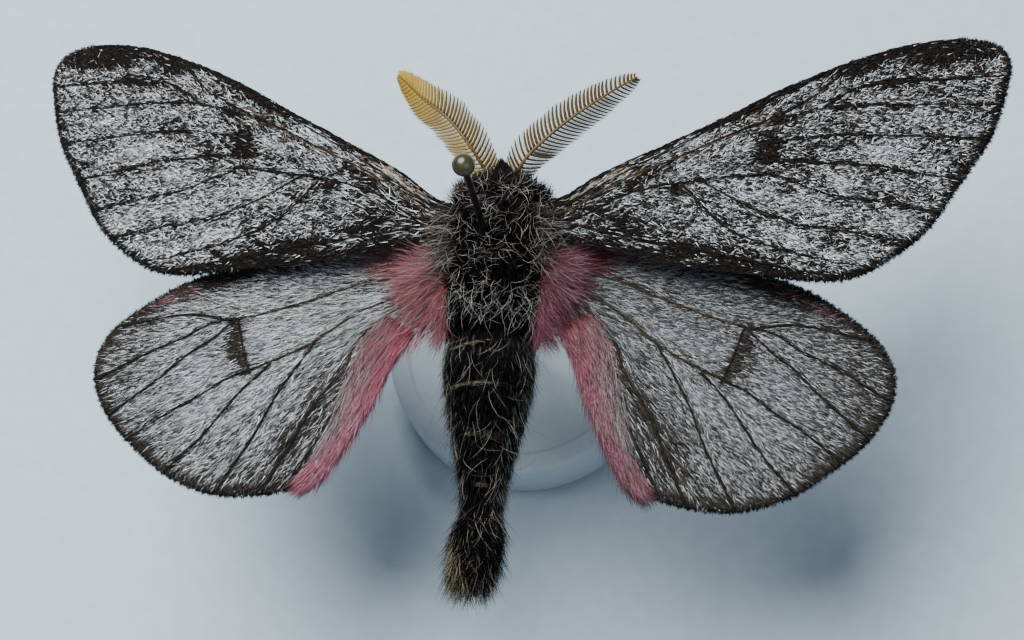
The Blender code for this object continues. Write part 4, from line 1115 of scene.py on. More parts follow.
def rose_edge(side_name, colours, rng):
    """Long rose hairs along the hindwing's inner edge, lying back to its hind corner."""
    setting, side = HINDWING_SET[side_name], SIDES[side_name]
    line = smooth_line(HINDWING_EDGE[INNER_EDGE[0]:INNER_EDGE[1]], 0.05)
    count = COUNTS["inner_edge"]
    spot = rng.integers(int(0.09 * len(line)), len(line) - 1, count)
    share = spot / len(line)
    back = unit(line[spot - 1] - line[spot + 1])
    in_from_edge = facing(left_of(back), (1, 0))
    depth = rng.beta(1.1, 2.0, count) * np.interp(share, (0, 0.3, 0.6, 1), (1.0, 1.5, 2.7, 3.1)) - 0.6
    plan = line[spot] + in_from_edge * depth[:, None]
    lean = rng.normal(-0.12, 0.12, count)
    flow = back * np.cos(lean)[:, None] + in_from_edge * np.sin(lean)[:, None]
    axes = wing_axes(plan[:, 0], setting, side)
    fade = 0.75 - 0.25 * np.exp(-(((share - 0.45) / 0.16) ** 2)) - 0.3 * np.maximum(depth, -0.2)
    fade += 0.35 * patchy(plan[:, 0], plan[:, 1], 0.7, 2.4, 4.0)
    tone = np.clip(fade + rng.normal(0, 0.2, count), 0, 1)
    grey = varied(rng, np.array(colours.steel) * 0.55, count, 0.5)
    # Painted shade: on the right side the hairs are painted darker and less rosy, most towards the hind
    # corner; the left keeps full strength and is a little rosier.
    painted_side_light = np.interp(share, (0, 0.45, 1), (0.5, 0.72, 0.85))[:, None] if side > 0 else 1.0
    rose = mix(grey, varied(rng, colours.rose, count, 0.3), tone * (0.9 if side > 0 else 1.1)) * painted_side_light
    deep = np.clip((share - 0.55) * 1.6, 0, 0.8)
    pale_tip = rng.uniform(0.0, 0.55, count) * np.where(share < 0.25, 1.4, 1.0)
    return {
        "roots": on_wing(plan, rng.uniform(0.05, 0.4, count), setting, side),
        "ways": over_wing(axes, flow, rng.uniform(-0.02, 0.12, (count, 1))), "faces": axes[2],
        "lengths": rng.uniform(1.3, 2.6, count) * np.interp(share, (0, 0.25), (0.65, 1.0)),
        "widths": rng.uniform(0.035, 0.06, count), "rings": HAIR, "curl": rng.uniform(-0.1, 0.02, count),
        "sway": rng.normal(0.02, 0.08, count), "colours": mix(rose, colours.rust, deep + 0.1),
        "tips": mix(rose, np.array(colours.blush) * painted_side_light, pale_tip), "unwrap": wing_unwrap(plan, 0),
    }


def rose_base(side_name, colours, rng):
    """Soft rose hairs that fan over the hindwing's root from beside the body."""
    setting, side = HINDWING_SET[side_name], SIDES[side_name]
    count = COUNTS[f"fan_{side_name}"]
    turn = np.radians(rng.uniform(-62, 26, count))
    bends = np.radians((-62, -48, -30, -10, -2, 8, 26))
    span = np.interp(turn, bends, (5.5, 4.2, 3.0, 3.4, 6.0, 7.0, 5.0))
    reach = 2.0 + span * rng.beta(1.0, 2.4, count)
    flow = np.stack([np.cos(turn), np.sin(turn)], axis=1)
    plan = (-3.2, 1.6) + flow * reach[:, None]
    stray = rng.normal(0, 0.16, count)[:, None]
    flow = flow + left_of(flow) * stray
    axes = wing_axes(plan[:, 0], setting, side)
    lift = 0.15 + rng.uniform(0.0, 1.3, count) * np.clip(1 - (reach - 2.2) / 5, 0.1, 1)
    tone = np.clip(rng.normal(0.75, 0.2, count) - (reach - 4) * 0.05, 0.1, 1)
    salmon = mix(varied(rng, colours.blush, count, 0.3), varied(rng, colours.rose, count, 0.3), tone)
    # Painted side light: on the right the grey hairs, the roots and the tips are painted darker and bluer,
    # as painted shade; on the left the tips are painted warmer, as painted light.
    grey = varied(rng, np.array(colours.frost) * (0.2 if side > 0 else 0.6), count, 0.6)
    salmon = mix(salmon, grey, (rng.random(count) < 0.3) * rng.uniform(0.5, 1.0, count))
    root = mix(salmon, colours.rust, np.full(count, 0.75 if side > 0 else 0.3))
    painted_side_light = (0.42, 0.3, 0.42) if side > 0 else (0.92, 0.85, 0.8)
    return {
        "roots": on_wing(plan, lift, setting, side),
        "ways": over_wing(axes, flow, rng.uniform(-0.05, 0.16, (count, 1))), "faces": axes[2],
        "lengths": rng.uniform(0.9, 2.8, count), "widths": rng.uniform(0.03, 0.055, count),
        "rings": HAIR, "curl": rng.uniform(-0.14, 0.0, count), "sway": rng.normal(-0.05, 0.12, count),
        "colours": root, "tips": salmon * painted_side_light, "unwrap": wing_unwrap(plan, 0),
    }


def build_rose_fringe(colours):
    """The rose hairs of both hindwings, along the inner edge and over the root."""
    for number, side_name in enumerate(SIDES):
        rng = np.random.default_rng(SEEDS["rose"] + number)
        group = merged(rose_edge(side_name, colours, rng), rose_base(side_name, colours, rng))
        coat(f"hindwing_{side_name}_rose_hairs", group, "body_hair", "hindwing")


def body_skin():
    """One closed skin from the brow to the tail, with the abdomen's rings stepped."""
    rows = np.concatenate([np.linspace(6.45, -6.0, 48), np.linspace(-6.2, -23.2, 96)])
    around = 48
    angles = np.arange(around) * 2 * math.pi / around
    rings = []
    for y in rows:
        tuck = 0.0
        for joint in ABDOMEN_JOINTS:
            if joint - 0.6 < y <= joint:
                tuck = 0.16 * (1 - (joint - y) / 0.6)
        rings.append(body_at(np.full(around, y), angles, -BODY_INSET - tuck)[0])
    points = np.vstack(rings)
    points = np.vstack([points, rings[0].mean(axis=0), rings[-1].mean(axis=0)])
    front, tail = len(points) - 2, len(points) - 1
    faces = []
    for r in range(len(rows) - 1):
        for k in range(around):
            n = (k + 1) % around
            near, far = r * around, (r + 1) * around
            faces += [(near + k, near + n, far + n), (near + k, far + n, far + k)]
    last = (len(rows) - 1) * around
    for k in range(around):
        n = (k + 1) % around
        faces += [(front, n, k), (tail, last + k, last + n)]
    faces = np.array(faces)[:, ::-1]
    return mesh_piece("body_skin", points, faces), points


def band_share(x, y):
    """How much of the yellow-brown band a place on the abdomen's back has."""
    total = np.zeros(len(y))
    for band, slant, half, reach, middle in ABDOMEN_BANDS:
        total += np.exp(-(((y - band - slant * (x - middle)) / half) ** 2) - ((x - middle) / reach) ** 4)
    return np.clip(total, 0, 1)


def build_body_skin(colours):
    """The skin from brow to tail, black with the abdomen's bands."""
    skin, points = body_skin()
    x, y = points[:, 0] - BODY_X, points[:, 1]
    bands = np.where(points[:, 2] > BAND_LEVEL, band_share(x, y), 0.0)
    paint(skin, mix(colours.black, np.array(colours.straw) * 0.3, bands))
    finished(skin, skin_material(), "black_coat", "head", "thorax", "abdomen", "anal_tuft")


def spots_on_body(rng, count, span, arc=(-math.pi, math.pi)):
    """Random places on the body: its y, its angle, the point, the way out and the unwrapped place."""
    y = rng.uniform(*span, count)
    angle = rng.uniform(*arc, count)
    point, out = body_at(y, angle, -BODY_INSET * 0.8)
    return y, angle, point, out, body_unwrap(angle, y)


def body_hairs(rng, group, spots, lie, colours, tips):
    """Hairs that grow from places on the body. lie gives the way along the body for each hair."""
    rise, lengths, widths, rings, curl, sway, stray = COATS[group]
    _, _, point, out, unwrap = spots
    count = len(point)
    ways = lie + out * rng.uniform(*rise, (count, 1)) + rng.normal(0, stray, (count, 3))
    return {
        "roots": point, "ways": ways, "faces": out, "lengths": rng.uniform(*lengths, count),
        "widths": rng.uniform(*widths, count), "rings": rings, "curl": rng.uniform(*curl, count),
        "sway": rng.uniform(*sway, count), "colours": colours, "tips": tips, "unwrap": unwrap,
    }


def lift_roots(rng, hairs, low, high):
    """Moves the hairs' roots out from the body, each by its own length."""
    hairs["roots"] = hairs["roots"] + hairs["faces"] * rng.uniform(low, high, (len(hairs["roots"]), 1))


BACK = np.array([[0.0, -1.0, 0.0]])
AHEAD = np.array([[0.0, 1.0, 0.0]])
ABOVE = (math.radians(-25), math.radians(205))


def build_thorax_coat(colours):
    """The thorax's black ground coat, and its tousled pale hairs."""
    rng = np.random.default_rng(SEEDS["thorax"])
    frost = np.array(colours.frost)
    count = COUNTS["thorax"]
    spots = spots_on_body(rng, count, (-5.9, 3.7))
    ground = varied(rng, colours.black, count, 0.6)
    lie = np.where(spots[0][:, None] > 3.2, AHEAD, BACK)
    ground_coat = body_hairs(rng, "thorax", spots, lie, ground, ground * 1.3)
    coat("thorax_black_coat", ground_coat, "black_hair", "black_coat")

    count = COUNTS["thorax_loose"]
    spots = spots_on_body(rng, count, (-5.6, 3.9), ABOVE)
    turn = rng.uniform(0, 2 * math.pi, count)
    lie = np.stack([np.cos(turn), np.sin(turn) * 0.9 - 0.35, 0 * turn], axis=1)
    grey = frost * rng.uniform(0.35, 1.2, (count, 1)) ** 1.6
    curved = rng.choice((-1.0, 1.0), count) * rng.uniform(0.3, 1.25, count)
    loose = body_hairs(rng, "thorax_loose", spots, lie, grey * 0.6, grey)
    loose["sway"] = curved
    lift_roots(rng, loose, 0.55, 1.0)

    count = COUNTS["cape"]
    spots = spots_on_body(rng, count, (-5.9, -3.4), ABOVE)
    steel = mix(varied(rng, colours.steel, count, 0.5), frost, rng.uniform(0, 0.6, count))
    cape = body_hairs(rng, "cape", spots, BACK, steel * 0.25, steel * 0.85)
    lift_roots(rng, cape, 0.3, 0.8)
    coat("thorax_pale_hairs", merged(loose, cape), "body_hair", "black_coat")


def build_root_tufts(colours):
    """Grey, black and rose tufts that spread from the thorax over the roots of the wings."""
    for number, (side_name, side) in enumerate(SIDES.items()):
        rng = np.random.default_rng(SEEDS["root_tufts"] + number)
        # Painted side light: the rose tips of the right tufts are painted darker and bluer, as painted
        # shade, and those of the left warmer, as painted light.
        painted_side_light = (0.5, 0.42, 0.6) if side > 0 else (0.95, 0.9, 0.85)
        groups = []
        for y_low, y_high, right, left, out_way, back_way, length, tone, arc in ROOT_TUFTS:
            count = right if side > 0 else left
            y = rng.uniform(y_low, y_high, count)
            angle = rng.uniform(*map(math.radians, arc), count)
            if side < 0:
                angle = math.pi - angle
            point, out = body_at(y, angle, 0.1)
            way = np.array([[side * out_way, -back_way, 0.12]])
            rosy = np.clip(tone + rng.normal(0, 0.25, count), 0, 1) * (tone > 0)
            grey = np.array(colours.frost) * rng.uniform(0.25, 0.95, (count, 1)) ** 1.5
            if tone < 0:
                grey = grey * 0.02
            rose = varied(rng, colours.rose, count, 0.35)
            rose = mix(rose, colours.blush, rng.uniform(0, 0.7, count)) * painted_side_light
            dark_root = mix(varied(rng, colours.black, count, 0.4) * 2, colours.rust, rosy)
            groups.append({
                "roots": point, "ways": way + rng.normal(0, 0.26, (count, 3)), "faces": out + (0, 0, 1.2),
                "lengths": rng.uniform(*length, count), "widths": rng.uniform(0.022, 0.038, count),
                "rings": CURVED_HAIR, "curl": rng.uniform(-0.34, -0.1, count),
                "sway": rng.normal(0, 0.4, count), "colours": dark_root,
                "tips": mix(grey, rose, rosy * 1.1), "unwrap": body_unwrap(angle, y),
            })
        coat(f"root_tufts_{side_name}", merged(*groups), "body_hair", "grey_coat")


def build_abdomen_coat(colours):
    """The abdomen's short black coat with its bands, its side fringe and its long pale hairs."""
    rng = np.random.default_rng(SEEDS["abdomen"])
    count = COUNTS["abdomen"]
    spots = spots_on_body(rng, count, (-19.9, -5.8))
    x = spots[2][:, 0] - BODY_X
    bands = band_share(x, spots[0]) * (spots[2][:, 2] > BAND_LEVEL)
    keep = rng.random(count) > bands * 0.8
    for joint in ABDOMEN_JOINTS:
        keep &= ~((spots[0] < joint + 0.05) & (spots[0] > joint - 0.18) & (rng.random(count) < 0.6))
    spots = tuple(part[keep] for part in spots)
    count = int(keep.sum())
    black = varied(rng, colours.black, count, 0.6)
    ground_coat = body_hairs(rng, "abdomen", spots, BACK, black, black * 1.3)
    coat("abdomen_black_coat", ground_coat, "black_hair", "black_coat")

    count = COUNTS["flanks"]
    spots = spots_on_body(rng, count, (-19.6, -6.5))
    flank = rng.choice((0.0, math.pi), count) + rng.normal(0, 0.42, count)
    point, out = body_at(spots[0], flank, -BODY_INSET)
    spots = (spots[0], flank, point, out, body_unwrap(flank, spots[0]))
    grey = varied(rng, np.array(colours.steel) * 0.22, count, 0.8)
    side_hairs = body_hairs(rng, "flanks", spots, BACK, grey * 0.1, grey)
    count = COUNTS["abdomen_loose"]
    spots = spots_on_body(rng, count, (-19.2, -6.4), ABOVE)
    turn = rng.normal(0, 0.45, count)
    lie = np.stack([np.sin(turn), -np.cos(turn), 0 * turn], axis=1)
    frost = np.array(colours.frost) * rng.uniform(0.25, 0.85, (count, 1)) ** 1.6
    loose = body_hairs(rng, "abdomen_loose", spots, lie, frost * 0.4, frost)
    lift_roots(rng, loose, 0.2, 0.5)
    coat("abdomen_side_hairs", side_hairs, "body_hair", "black_coat")
    coat("abdomen_pale_hairs", loose, "body_hair", "black_coat")

    count = COUNTS["bands"]
    x = rng.uniform(-2.7, 2.2, count)
    joint = rng.choice(np.array(ABDOMEN_JOINTS), count)
    y = joint + rng.uniform(-0.5, 0.1, count)
    angle = np.arccos(np.clip((x + 0.15) / 3.0, -0.98, 0.98))
    keep = rng.random(count) < band_share(x, y)
    x, y, angle = x[keep], y[keep], angle[keep]
    point, out = body_at(y, angle, rng.uniform(0.02, 0.16, len(y)))
    count = len(y)
    brown = np.clip((x - 0.2) / 1.2, 0, 1)
    straw = mix(np.array(colours.straw) * 0.3, np.array(colours.tan) * 0.25, brown)
    straw = straw * rng.uniform(0.12, 1.0, (count, 1))
    ring_way = np.stack([-np.sin(angle), 0.08 + 0 * angle, np.cos(angle)], axis=1)
    bands = {
        "roots": point, "ways": ring_way + rng.normal(0, 0.05, (count, 3)), "faces": out,
        "lengths": rng.uniform(0.4, 0.8, count), "widths": rng.uniform(0.03, 0.05, count), "rings": HAIR,
        "curl": rng.uniform(-0.2, -0.1, count), "sway": rng.uniform(-0.1, 0.1, count),
        "colours": straw * 0.8, "tips": straw, "unwrap": body_unwrap(angle, y),
    }
    coat("abdomen_straw_bands", bands, "body_hair", "grey_coat")


def build_tail_brush(colours):
    """The brush at the tail: black hairs that flare, with straw tips at the left and at the end."""
    rng = np.random.default_rng(SEEDS["tail"])
    count = COUNTS["tail"]
    spots = spots_on_body(rng, count, (-22.8, -18.3))
    y, angle = spots[0], spots[1]
    black = varied(rng, colours.black, count, 0.5)
    straw = np.array(colours.straw) * rng.uniform(0.3, 1.0, (count, 1))
    leftness = np.clip(-np.cos(angle) * 0.9 - 0.1, 0, 1) * np.clip((-19.2 - y) / 1.5, 0, 1)
    tip_share = np.clip(leftness + np.clip((-21.2 - y) / 1.4, 0, 1) * 0.4, 0, 1)
    pale = rng.random(count) < tip_share * 0.6
    tips = np.where(pale[:, None], straw, black * 1.4)
    flare = np.interp(y, (-22.8, -20.5, -18.3), (0.12, 0.34, 0.3))[:, None]
    brush = body_hairs(rng, "tail", spots, BACK + spots[3] * flare, black, tips)
    coat("tail_brush", brush, "black_hair", "grey_coat")

    count = COUNTS["tail_loose"]
    spots = spots_on_body(rng, count, (-22.0, -18.0), ABOVE)
    frost = np.array(colours.frost) * rng.uniform(0.3, 0.9, (count, 1))
    loose = body_hairs(rng, "tail_loose", spots, BACK, frost * 0.5, frost)
    coat("tail_pale_hairs", loose, "body_hair", "grey_coat")


def face_hairs(colours, rng):
    """The short hairs between the eyes, that lean down over the palps."""
    count = COUNTS["face"]
    angle = rng.uniform(-math.pi, math.pi, count)
    rim, out = body_at(np.full(count, 6.42), angle, -BODY_INSET)
    middle = rim.mean(axis=0)
    tone = varied(rng, colours.black, count, 0.6)
    return {
        "roots": middle + (rim - middle) * np.sqrt(rng.random((count, 1))) * (1, 0, 1) - (0, 0.05, 0),
        "ways": out * 0.55 + (0.0, 0.6, -0.3) + rng.normal(0, 0.22, (count, 3)),
        "faces": np.array([[0.0, 1.0, 0.4]]) + 0 * out, "lengths": rng.uniform(0.4, 0.75, count),
        "widths": rng.uniform(0.045, 0.08, count), "rings": HAIR,
        "curl": rng.uniform(-0.4, -0.05, count),
        "sway": rng.normal(0, 0.2, count), "colours": tone, "tips": tone * 1.3,
        "unwrap": np.stack([(angle / (2 * math.pi)) % 1.0, np.full(count, 0.92)], axis=1),
    }


def build_head_coat(colours):
    """The shaggy crown, brow, cheeks and collar, smallest on the face."""
    rng = np.random.default_rng(SEEDS["head"])
    spots = spots_on_body(rng, COUNTS["head"], (3.0, 6.4))
    gaps = [np.linalg.norm(spots[2] - placed(EYE_AT, side), axis=1) for side in SIDES.values()]
    clear = np.min(gaps, axis=0) > EYE_RADIUS + 0.05
    spots = tuple(part[clear] for part in spots)
    y = spots[0]
    count = len(y)
    black = varied(rng, colours.black, count, 0.6)
    brownness = rng.uniform(0, 0.25, count) * (rng.random(count) < 0.2)
    brown = mix(black * 1.4, colours.tan, brownness)
    fur = body_hairs(rng, "head", spots, AHEAD, black, brown)
    fur["lengths"] = fur["lengths"] * np.interp(y, (3.0, 4.6, 6.4), (1.15, 1.0, 0.6))
    coat("head_fur", merged(fur, face_hairs(colours, rng)), "black_hair", "black_coat")

    count = COUNTS["head_loose"]
    spots = spots_on_body(rng, count, (3.0, 5.2), ABOVE)
    turn = rng.uniform(0, math.pi, count)
    lie = np.stack([np.cos(turn), np.sin(turn), 0 * turn], axis=1)
    frost = np.array(colours.frost) * rng.uniform(0.15, 0.7, (count, 1))
    loose = body_hairs(rng, "head_loose", spots, lie, frost * 0.6, frost)
    lift_roots(rng, loose, 0.4, 0.8)
    coat("head_pale_hairs", loose, "body_hair", "black_coat")


def build_eyes():
    """The two dark eyes, each a faceted ball set into the cheek with a low rim."""
    for side_name, side in SIDES.items():
        deselect()
        centre = tuple(placed(EYE_AT, side)[0] * MM)
        bpy.ops.mesh.primitive_uv_sphere_add(
            segments=48, ring_count=28, radius=EYE_RADIUS * MM, location=centre,
            rotation=(0, math.radians(90), 0),
        )
        eye = settle(bpy.context.object, f"eye_{side_name}_facets")
        mean = Vector(centre)
        pick_faces(eye, lambda middle, normal: (middle - mean).x * side < -0.0003)
        bpy.ops.transform.resize(value=(1.0, 1.12, 1.12), center_override=mean)
        bpy.ops.object.mode_set(mode="OBJECT")
        bpy.ops.object.shade_smooth()
        finished(eye, shared_material("eye_facets", eye_material), "eye", f"eye_{side_name}")


def curve_tube(name, line, radii, resolution=3):
    """A closed tube along a line in millimetres, made a mesh from a bevelled curve."""
    curve = bpy.data.curves.new(name, "CURVE")
    curve.dimensions = "3D"
    curve.bevel_depth = 1.0
    curve.bevel_resolution = resolution
    curve.use_fill_caps = True
    spline = curve.splines.new("POLY")
    spline.points.add(len(line) - 1)
    for point, place, radius in zip(spline.points, line, radii):
        point.co = (*map(float, np.asarray(place) * MM), 1.0)
        point.radius = float(radius) * MM
    tube = bpy.data.objects.new(name, curve)
    bpy.context.scene.collection.objects.link(tube)
    deselect()
    tube.select_set(True)
    bpy.context.view_layer.objects.active = tube
    bpy.ops.object.convert(target="MESH")
    tube = bpy.context.object
    bpy.ops.object.mode_set(mode="EDIT")
    bpy.ops.mesh.select_all(action="SELECT")
    bpy.ops.mesh.remove_doubles(threshold=0.000001)
    bpy.ops.mesh.normals_make_consistent(inside=False)
    bpy.ops.object.mode_set(mode="OBJECT")
    bpy.ops.object.shade_smooth()
    return tube


def antenna_lines(side_name):
    """The shaft's points, its direction at each and the way that its comb's flat side faces."""
    line = smooth_line(ANTENNA_LINE[side_name], 0.12)
    way = unit(np.gradient(line, axis=0))
    share = np.linspace(0, 1, len(line))
    base_roll, tip_roll = ANTENNA_ROLL[side_name]
    roll = np.radians(np.interp(share, (0.0, 0.55, 1.0), (base_roll, base_roll, tip_roll)))
    up = unit(np.array([0.0, 0.0, 1.0]) - way * way[:, 2:])
    beside = np.cross(way, up)
    face = up * np.cos(-roll)[:, None] - beside * np.sin(-roll)[:, None]
    return line, way, face, share


def build_antennae(colours):
    """The two feathered antennae: a ringed shaft, two rows of curved rami and their fine cilia."""
    for number, (side_name, side) in enumerate(SIDES.items()):
        rng = np.random.default_rng(SEEDS["antennae"] + number)
        line, way, face, share = antenna_lines(side_name)
        rings = 1 + 0.1 * np.cos(share * RAMI * 2 * math.pi)
        radii = np.interp(share, (0, 1), ANTENNA_RADII) * rings
        shaft = curve_tube(f"antenna_{side_name}_shaft", placed(line, side), radii)
        light, dark = (tuple(channel * part for channel in colours.horn) for part in (0.24, 0.12))
        horn = shared_material("antenna_horn", horn_material, light, dark, 0.4)
        finished(shaft, horn, "antenna", f"antenna_{side_name}")

        comb = 2 * RAMI
        at = np.repeat(RAMUS_FIRST + (RAMUS_LAST - RAMUS_FIRST) * np.arange(comb) / (comb - 1), 2)
        edge = np.tile((-1.0, 1.0), comb)[:, None]
        second = np.repeat(np.arange(comb) % 2, 2)[:, None] > 0
        middle, along, flat = (
            np.stack([np.interp(at, share, table[:, c]) for c in range(3)], axis=1)
            for table in (line, way, face)
        )
        across = np.cross(along, flat) * edge
        lean = math.radians(RAMUS_LEAN)
        aim = across * math.sin(lean) + along * math.cos(lean)
        lengths = RAMUS_LENGTH * np.interp(at, *np.array(COMB_PROFILE).T)
        lengths = lengths * rng.uniform(0.96, 1.04, 2 * comb)
        sway = RAMUS_SWAY * edge[:, 0] * side
        horn_colour = np.array(colours.horn)
        tip_share = np.clip((at[:, None] - 0.5) / 0.3, 0, 1)
        upper = edge < 0
        cream = np.array(PALE_RAMUS)
        if side_name == "right":
            main = horn_colour * np.where(upper, 0.1, 0.05)
            tone = np.where(second, cream * np.where(upper, 1.0, 0.1), main)
        else:
            main = horn_colour * np.where(upper, 0.18, 0.55)
            tone = np.where(second, cream * np.where(upper, 0.9, 0.6), main)
            gold = horn_colour * (0.72, 0.8, 0.62)
            tone = tone + (gold - tone) * tip_share
        widths = np.where(second, np.where(upper, 0.12, 0.06), 0.18)[:, 0]
        ways, flats = aim * (side, 1, 1), flat * (side, 1, 1)
        rami = {
            "roots": placed(middle, side), "ways": ways, "faces": flats, "lengths": lengths,
            "widths": widths + 0.1 * tip_share[:, 0] * (side < 0),
            "rings": RAMI_RINGS, "curl": RAMUS_CURL, "sway": sway, "colours": tone, "tips": tone,
            "unwrap": np.stack([0.5 + 0.2 * edge[:, 0], 0.05 + 0.9 * at], axis=1),
        }
        coat(f"antenna_{side_name}_rami", rami, "body_hair", "antenna")

        pick = np.repeat(np.arange(2 * comb), 2 * CILIA_PER_RAMUS)
        step = np.tile(np.repeat(np.linspace(0.12, 0.96, CILIA_PER_RAMUS), 2), 2 * comb)
        hand = np.tile((-1.0, 1.0), 2 * comb * CILIA_PER_RAMUS)[:, None]
        ways_unit = unit(ways)
        beside = unit(np.cross(ways_unit, flats))
        bend = (lengths * sway)[pick][:, None] * (step**2)[:, None]
        spot = placed(middle, side)[pick] + ways_unit[pick] * (lengths[pick] * step)[:, None]
        spot += beside[pick] * bend
        spot -= flats[pick] * (-RAMUS_CURL * lengths[pick] * step**2)[:, None]
        tone = varied(rng, cream, len(pick), 0.25) * np.where(edge[pick] > 0, 0.45, 0.8)
        if side_name == "left":
            tone = mix(tone * (1.0, 0.9, 0.6), gold, tip_share[pick, 0])
        cilia = {
            "roots": spot, "ways": ways_unit[pick] * 0.8 + beside[pick] * hand, "faces": flats[pick],
            "lengths": rng.uniform(0.1, 0.17, len(pick)), "widths": np.full(len(pick), 0.018),
            "rings": SCALE, "colours": tone, "tips": tone,
            "unwrap": np.stack([0.5 + 0.2 * edge[pick, 0], 0.05 + 0.9 * at[pick]], axis=1),
        }
        coat(f"antenna_{side_name}_cilia", cilia, "body_hair", "antenna")


def tube_hairs(rng, line, radii, count, length, colour):
    """Short hairs that lie along a tube, towards its end."""
    line = np.asarray(line)
    spot = rng.uniform(0, len(line) - 1.001, count)
    low = spot.astype(int)
    part = (spot - low)[:, None]
    middle = line[low] * (1 - part) + line[low + 1] * part
    way = unit(line[low + 1] - line[low])
    other = unit(np.cross(way, np.array([0.3, 0.2, 0.9])))
    third = np.cross(way, other)
    angle = rng.uniform(0, 2 * math.pi, (count, 1))
    out = other * np.cos(angle) + third * np.sin(angle)
    radius = np.interp(spot, np.arange(len(line)), radii)[:, None]
    tone = varied(rng, colour, count, 0.5)
    pale = rng.random((count, 1)) < 0.12
    return {
        "roots": middle + out * radius * 0.8, "ways": way + out * rng.uniform(0.25, 0.6, (count, 1)),
        "faces": out, "lengths": rng.uniform(0.7, 1.2, count) * length,
        "widths": rng.uniform(0.05, 0.09, count), "rings": SCALE, "curl": -0.15,
        "colours": tone, "tips": np.where(pale, 0.35, tone * 2.0),
        "unwrap": np.stack([angle[:, 0] / (2 * math.pi), 0.05 + 0.9 * spot / len(line)], axis=1),
    }


def build_legs(colours):
    """Six folded legs: bent horn tubes with ringed feet, in short fur."""
    for number, (kind, points) in enumerate(LEG_LINES.items()):
        for side_name, side in SIDES.items():
            rng = np.random.default_rng(SEEDS["legs"] + 2 * number + int(side > 0))
            line = placed(smooth_line(points, 0.3), side)
            share = np.linspace(0, 1, len(line))
            foot_rings = 0.14 * np.cos(np.clip(share - 0.6, 0, 1) * 12 * 2 * math.pi) * (share > 0.6)
            radii = np.interp(share, *np.array(LEG_RADII).T) * (1 + foot_rings)
            leg = curve_tube(f"leg_{kind}_{side_name}_horn", line, radii)
            finished(leg, leg_horn(), "leg", f"leg_{kind}_{side_name}")
            fur = tube_hairs(rng, line, radii, COUNTS["leg"], 0.6, np.array(colours.black) * 2)
            coat(f"leg_{kind}_{side_name}_fur", fur, "black_hair", "leg")


def build_palps(colours):
    """The two short palps under the brow, in bristly fur."""
    for number, (side_name, side) in enumerate(SIDES.items()):
        rng = np.random.default_rng(SEEDS["palps"] + number)
        line = placed(smooth_line(PALP_LINE, 0.15), side)
        radii = np.interp(np.linspace(0, 1, len(line)), (0, 0.6, 1), (0.2, 0.24, 0.1))
        palp = curve_tube(f"palp_{side_name}_horn", line, radii)
        finished(palp, leg_horn(), "black_coat", f"palp_{side_name}")
        fur = tube_hairs(rng, line, radii, COUNTS["palp"], 0.55, np.array(colours.black) * 2)
        coat(f"palp_{side_name}_fur", fur, "black_hair", "black_coat")


def area_light(target, name, place, size, energy, colour):
    """A round soft light that faces the target."""
    data = bpy.data.lights.new(name, "AREA")
    data.shape = "DISK"
    data.size = size
    data.energy = energy
    data.color = colour
    light = bpy.data.objects.new(name, data)
    light.location = place
    light.rotation_euler = (Vector(target) - Vector(place)).to_track_quat("-Z", "Y").to_euler()
    bpy.context.scene.collection.objects.link(light)


def build_stage(colours):
    """The pale floor, the soft lights from the upper left and the camera."""
    deselect()
    bpy.ops.mesh.primitive_plane_add(size=2.0, location=(0, 0, 0))
    floor = settle(bpy.context.object, "floor")
    floor.data.materials.append(painted_material("floor_card", tuple(colours.floor), 700.0, 0.00004))

    target = Vector(CAMERA_AT) * MM
    for light in LIGHTS:
        area_light(target, *light)
    world = bpy.data.worlds.new("pale_room")
    world.use_nodes = True
    background = world.node_tree.nodes["Background"]
    background.inputs["Color"].default_value = (0.8, 0.88, 1.0, 1.0)
    background.inputs["Strength"].default_value = ROOM_LIGHT
    bpy.context.scene.world = world

    back, right = Vector(CAMERA_BACK).normalized(), Vector(CAMERA_RIGHT)
    right = (right - back * right.dot(back)).normalized()
    up = back.cross(right)
    data = bpy.data.cameras.new("camera")
    data.sensor_width = 36.0
    data.lens = FOCAL_LENGTH
    data.clip_start = 0.005
    data.clip_end = 5.0
    camera = bpy.data.objects.new("camera", data)
    turn = Matrix((right, up, back)).transposed().to_4x4()
    camera.matrix_world = Matrix.Translation(target + back * CAMERA_DISTANCE * MM) @ turn
    bpy.context.scene.collection.objects.link(camera)
    bpy.context.scene.camera = camera


class MOTH_OT_stand(bpy.types.Operator):
    """Make the round stand that holds the pin upright"""

    bl_idname = "moth.stand"
    bl_label = "Stand"

    def execute(self, context):
        build_stand(context.scene.moth_colours)
        return {"FINISHED"}


class MOTH_OT_pin(bpy.types.Operator):
    """Make the pin's enamelled shaft and its round head"""

    bl_idname = "moth.pin"
    bl_label = "Pin"

    def execute(self, context):
        build_pin(context.scene.moth_sizes)
        return {"FINISHED"}


class MOTH_OT_membranes(bpy.types.Operator):
    """Make the four bare wings with their raised veins"""

    bl_idname = "moth.membranes"
    bl_label = "Wing membranes"

    def execute(self, context):
        for kind in WINGS:
            for side_name in SIDES:
                wing_mesh(kind, side_name, context.scene.moth_sizes, context.scene.moth_colours)
        return {"FINISHED"}


class MOTH_OT_forewing_scales(bpy.types.Operator):
    """Lay the scales and the outer fringe of the forewings"""

    bl_idname = "moth.forewing_scales"
    bl_label = "Forewing scales"

    def execute(self, context):
        build_wing_scales("forewing", context.scene.moth_sizes, context.scene.moth_colours)
        return {"FINISHED"}


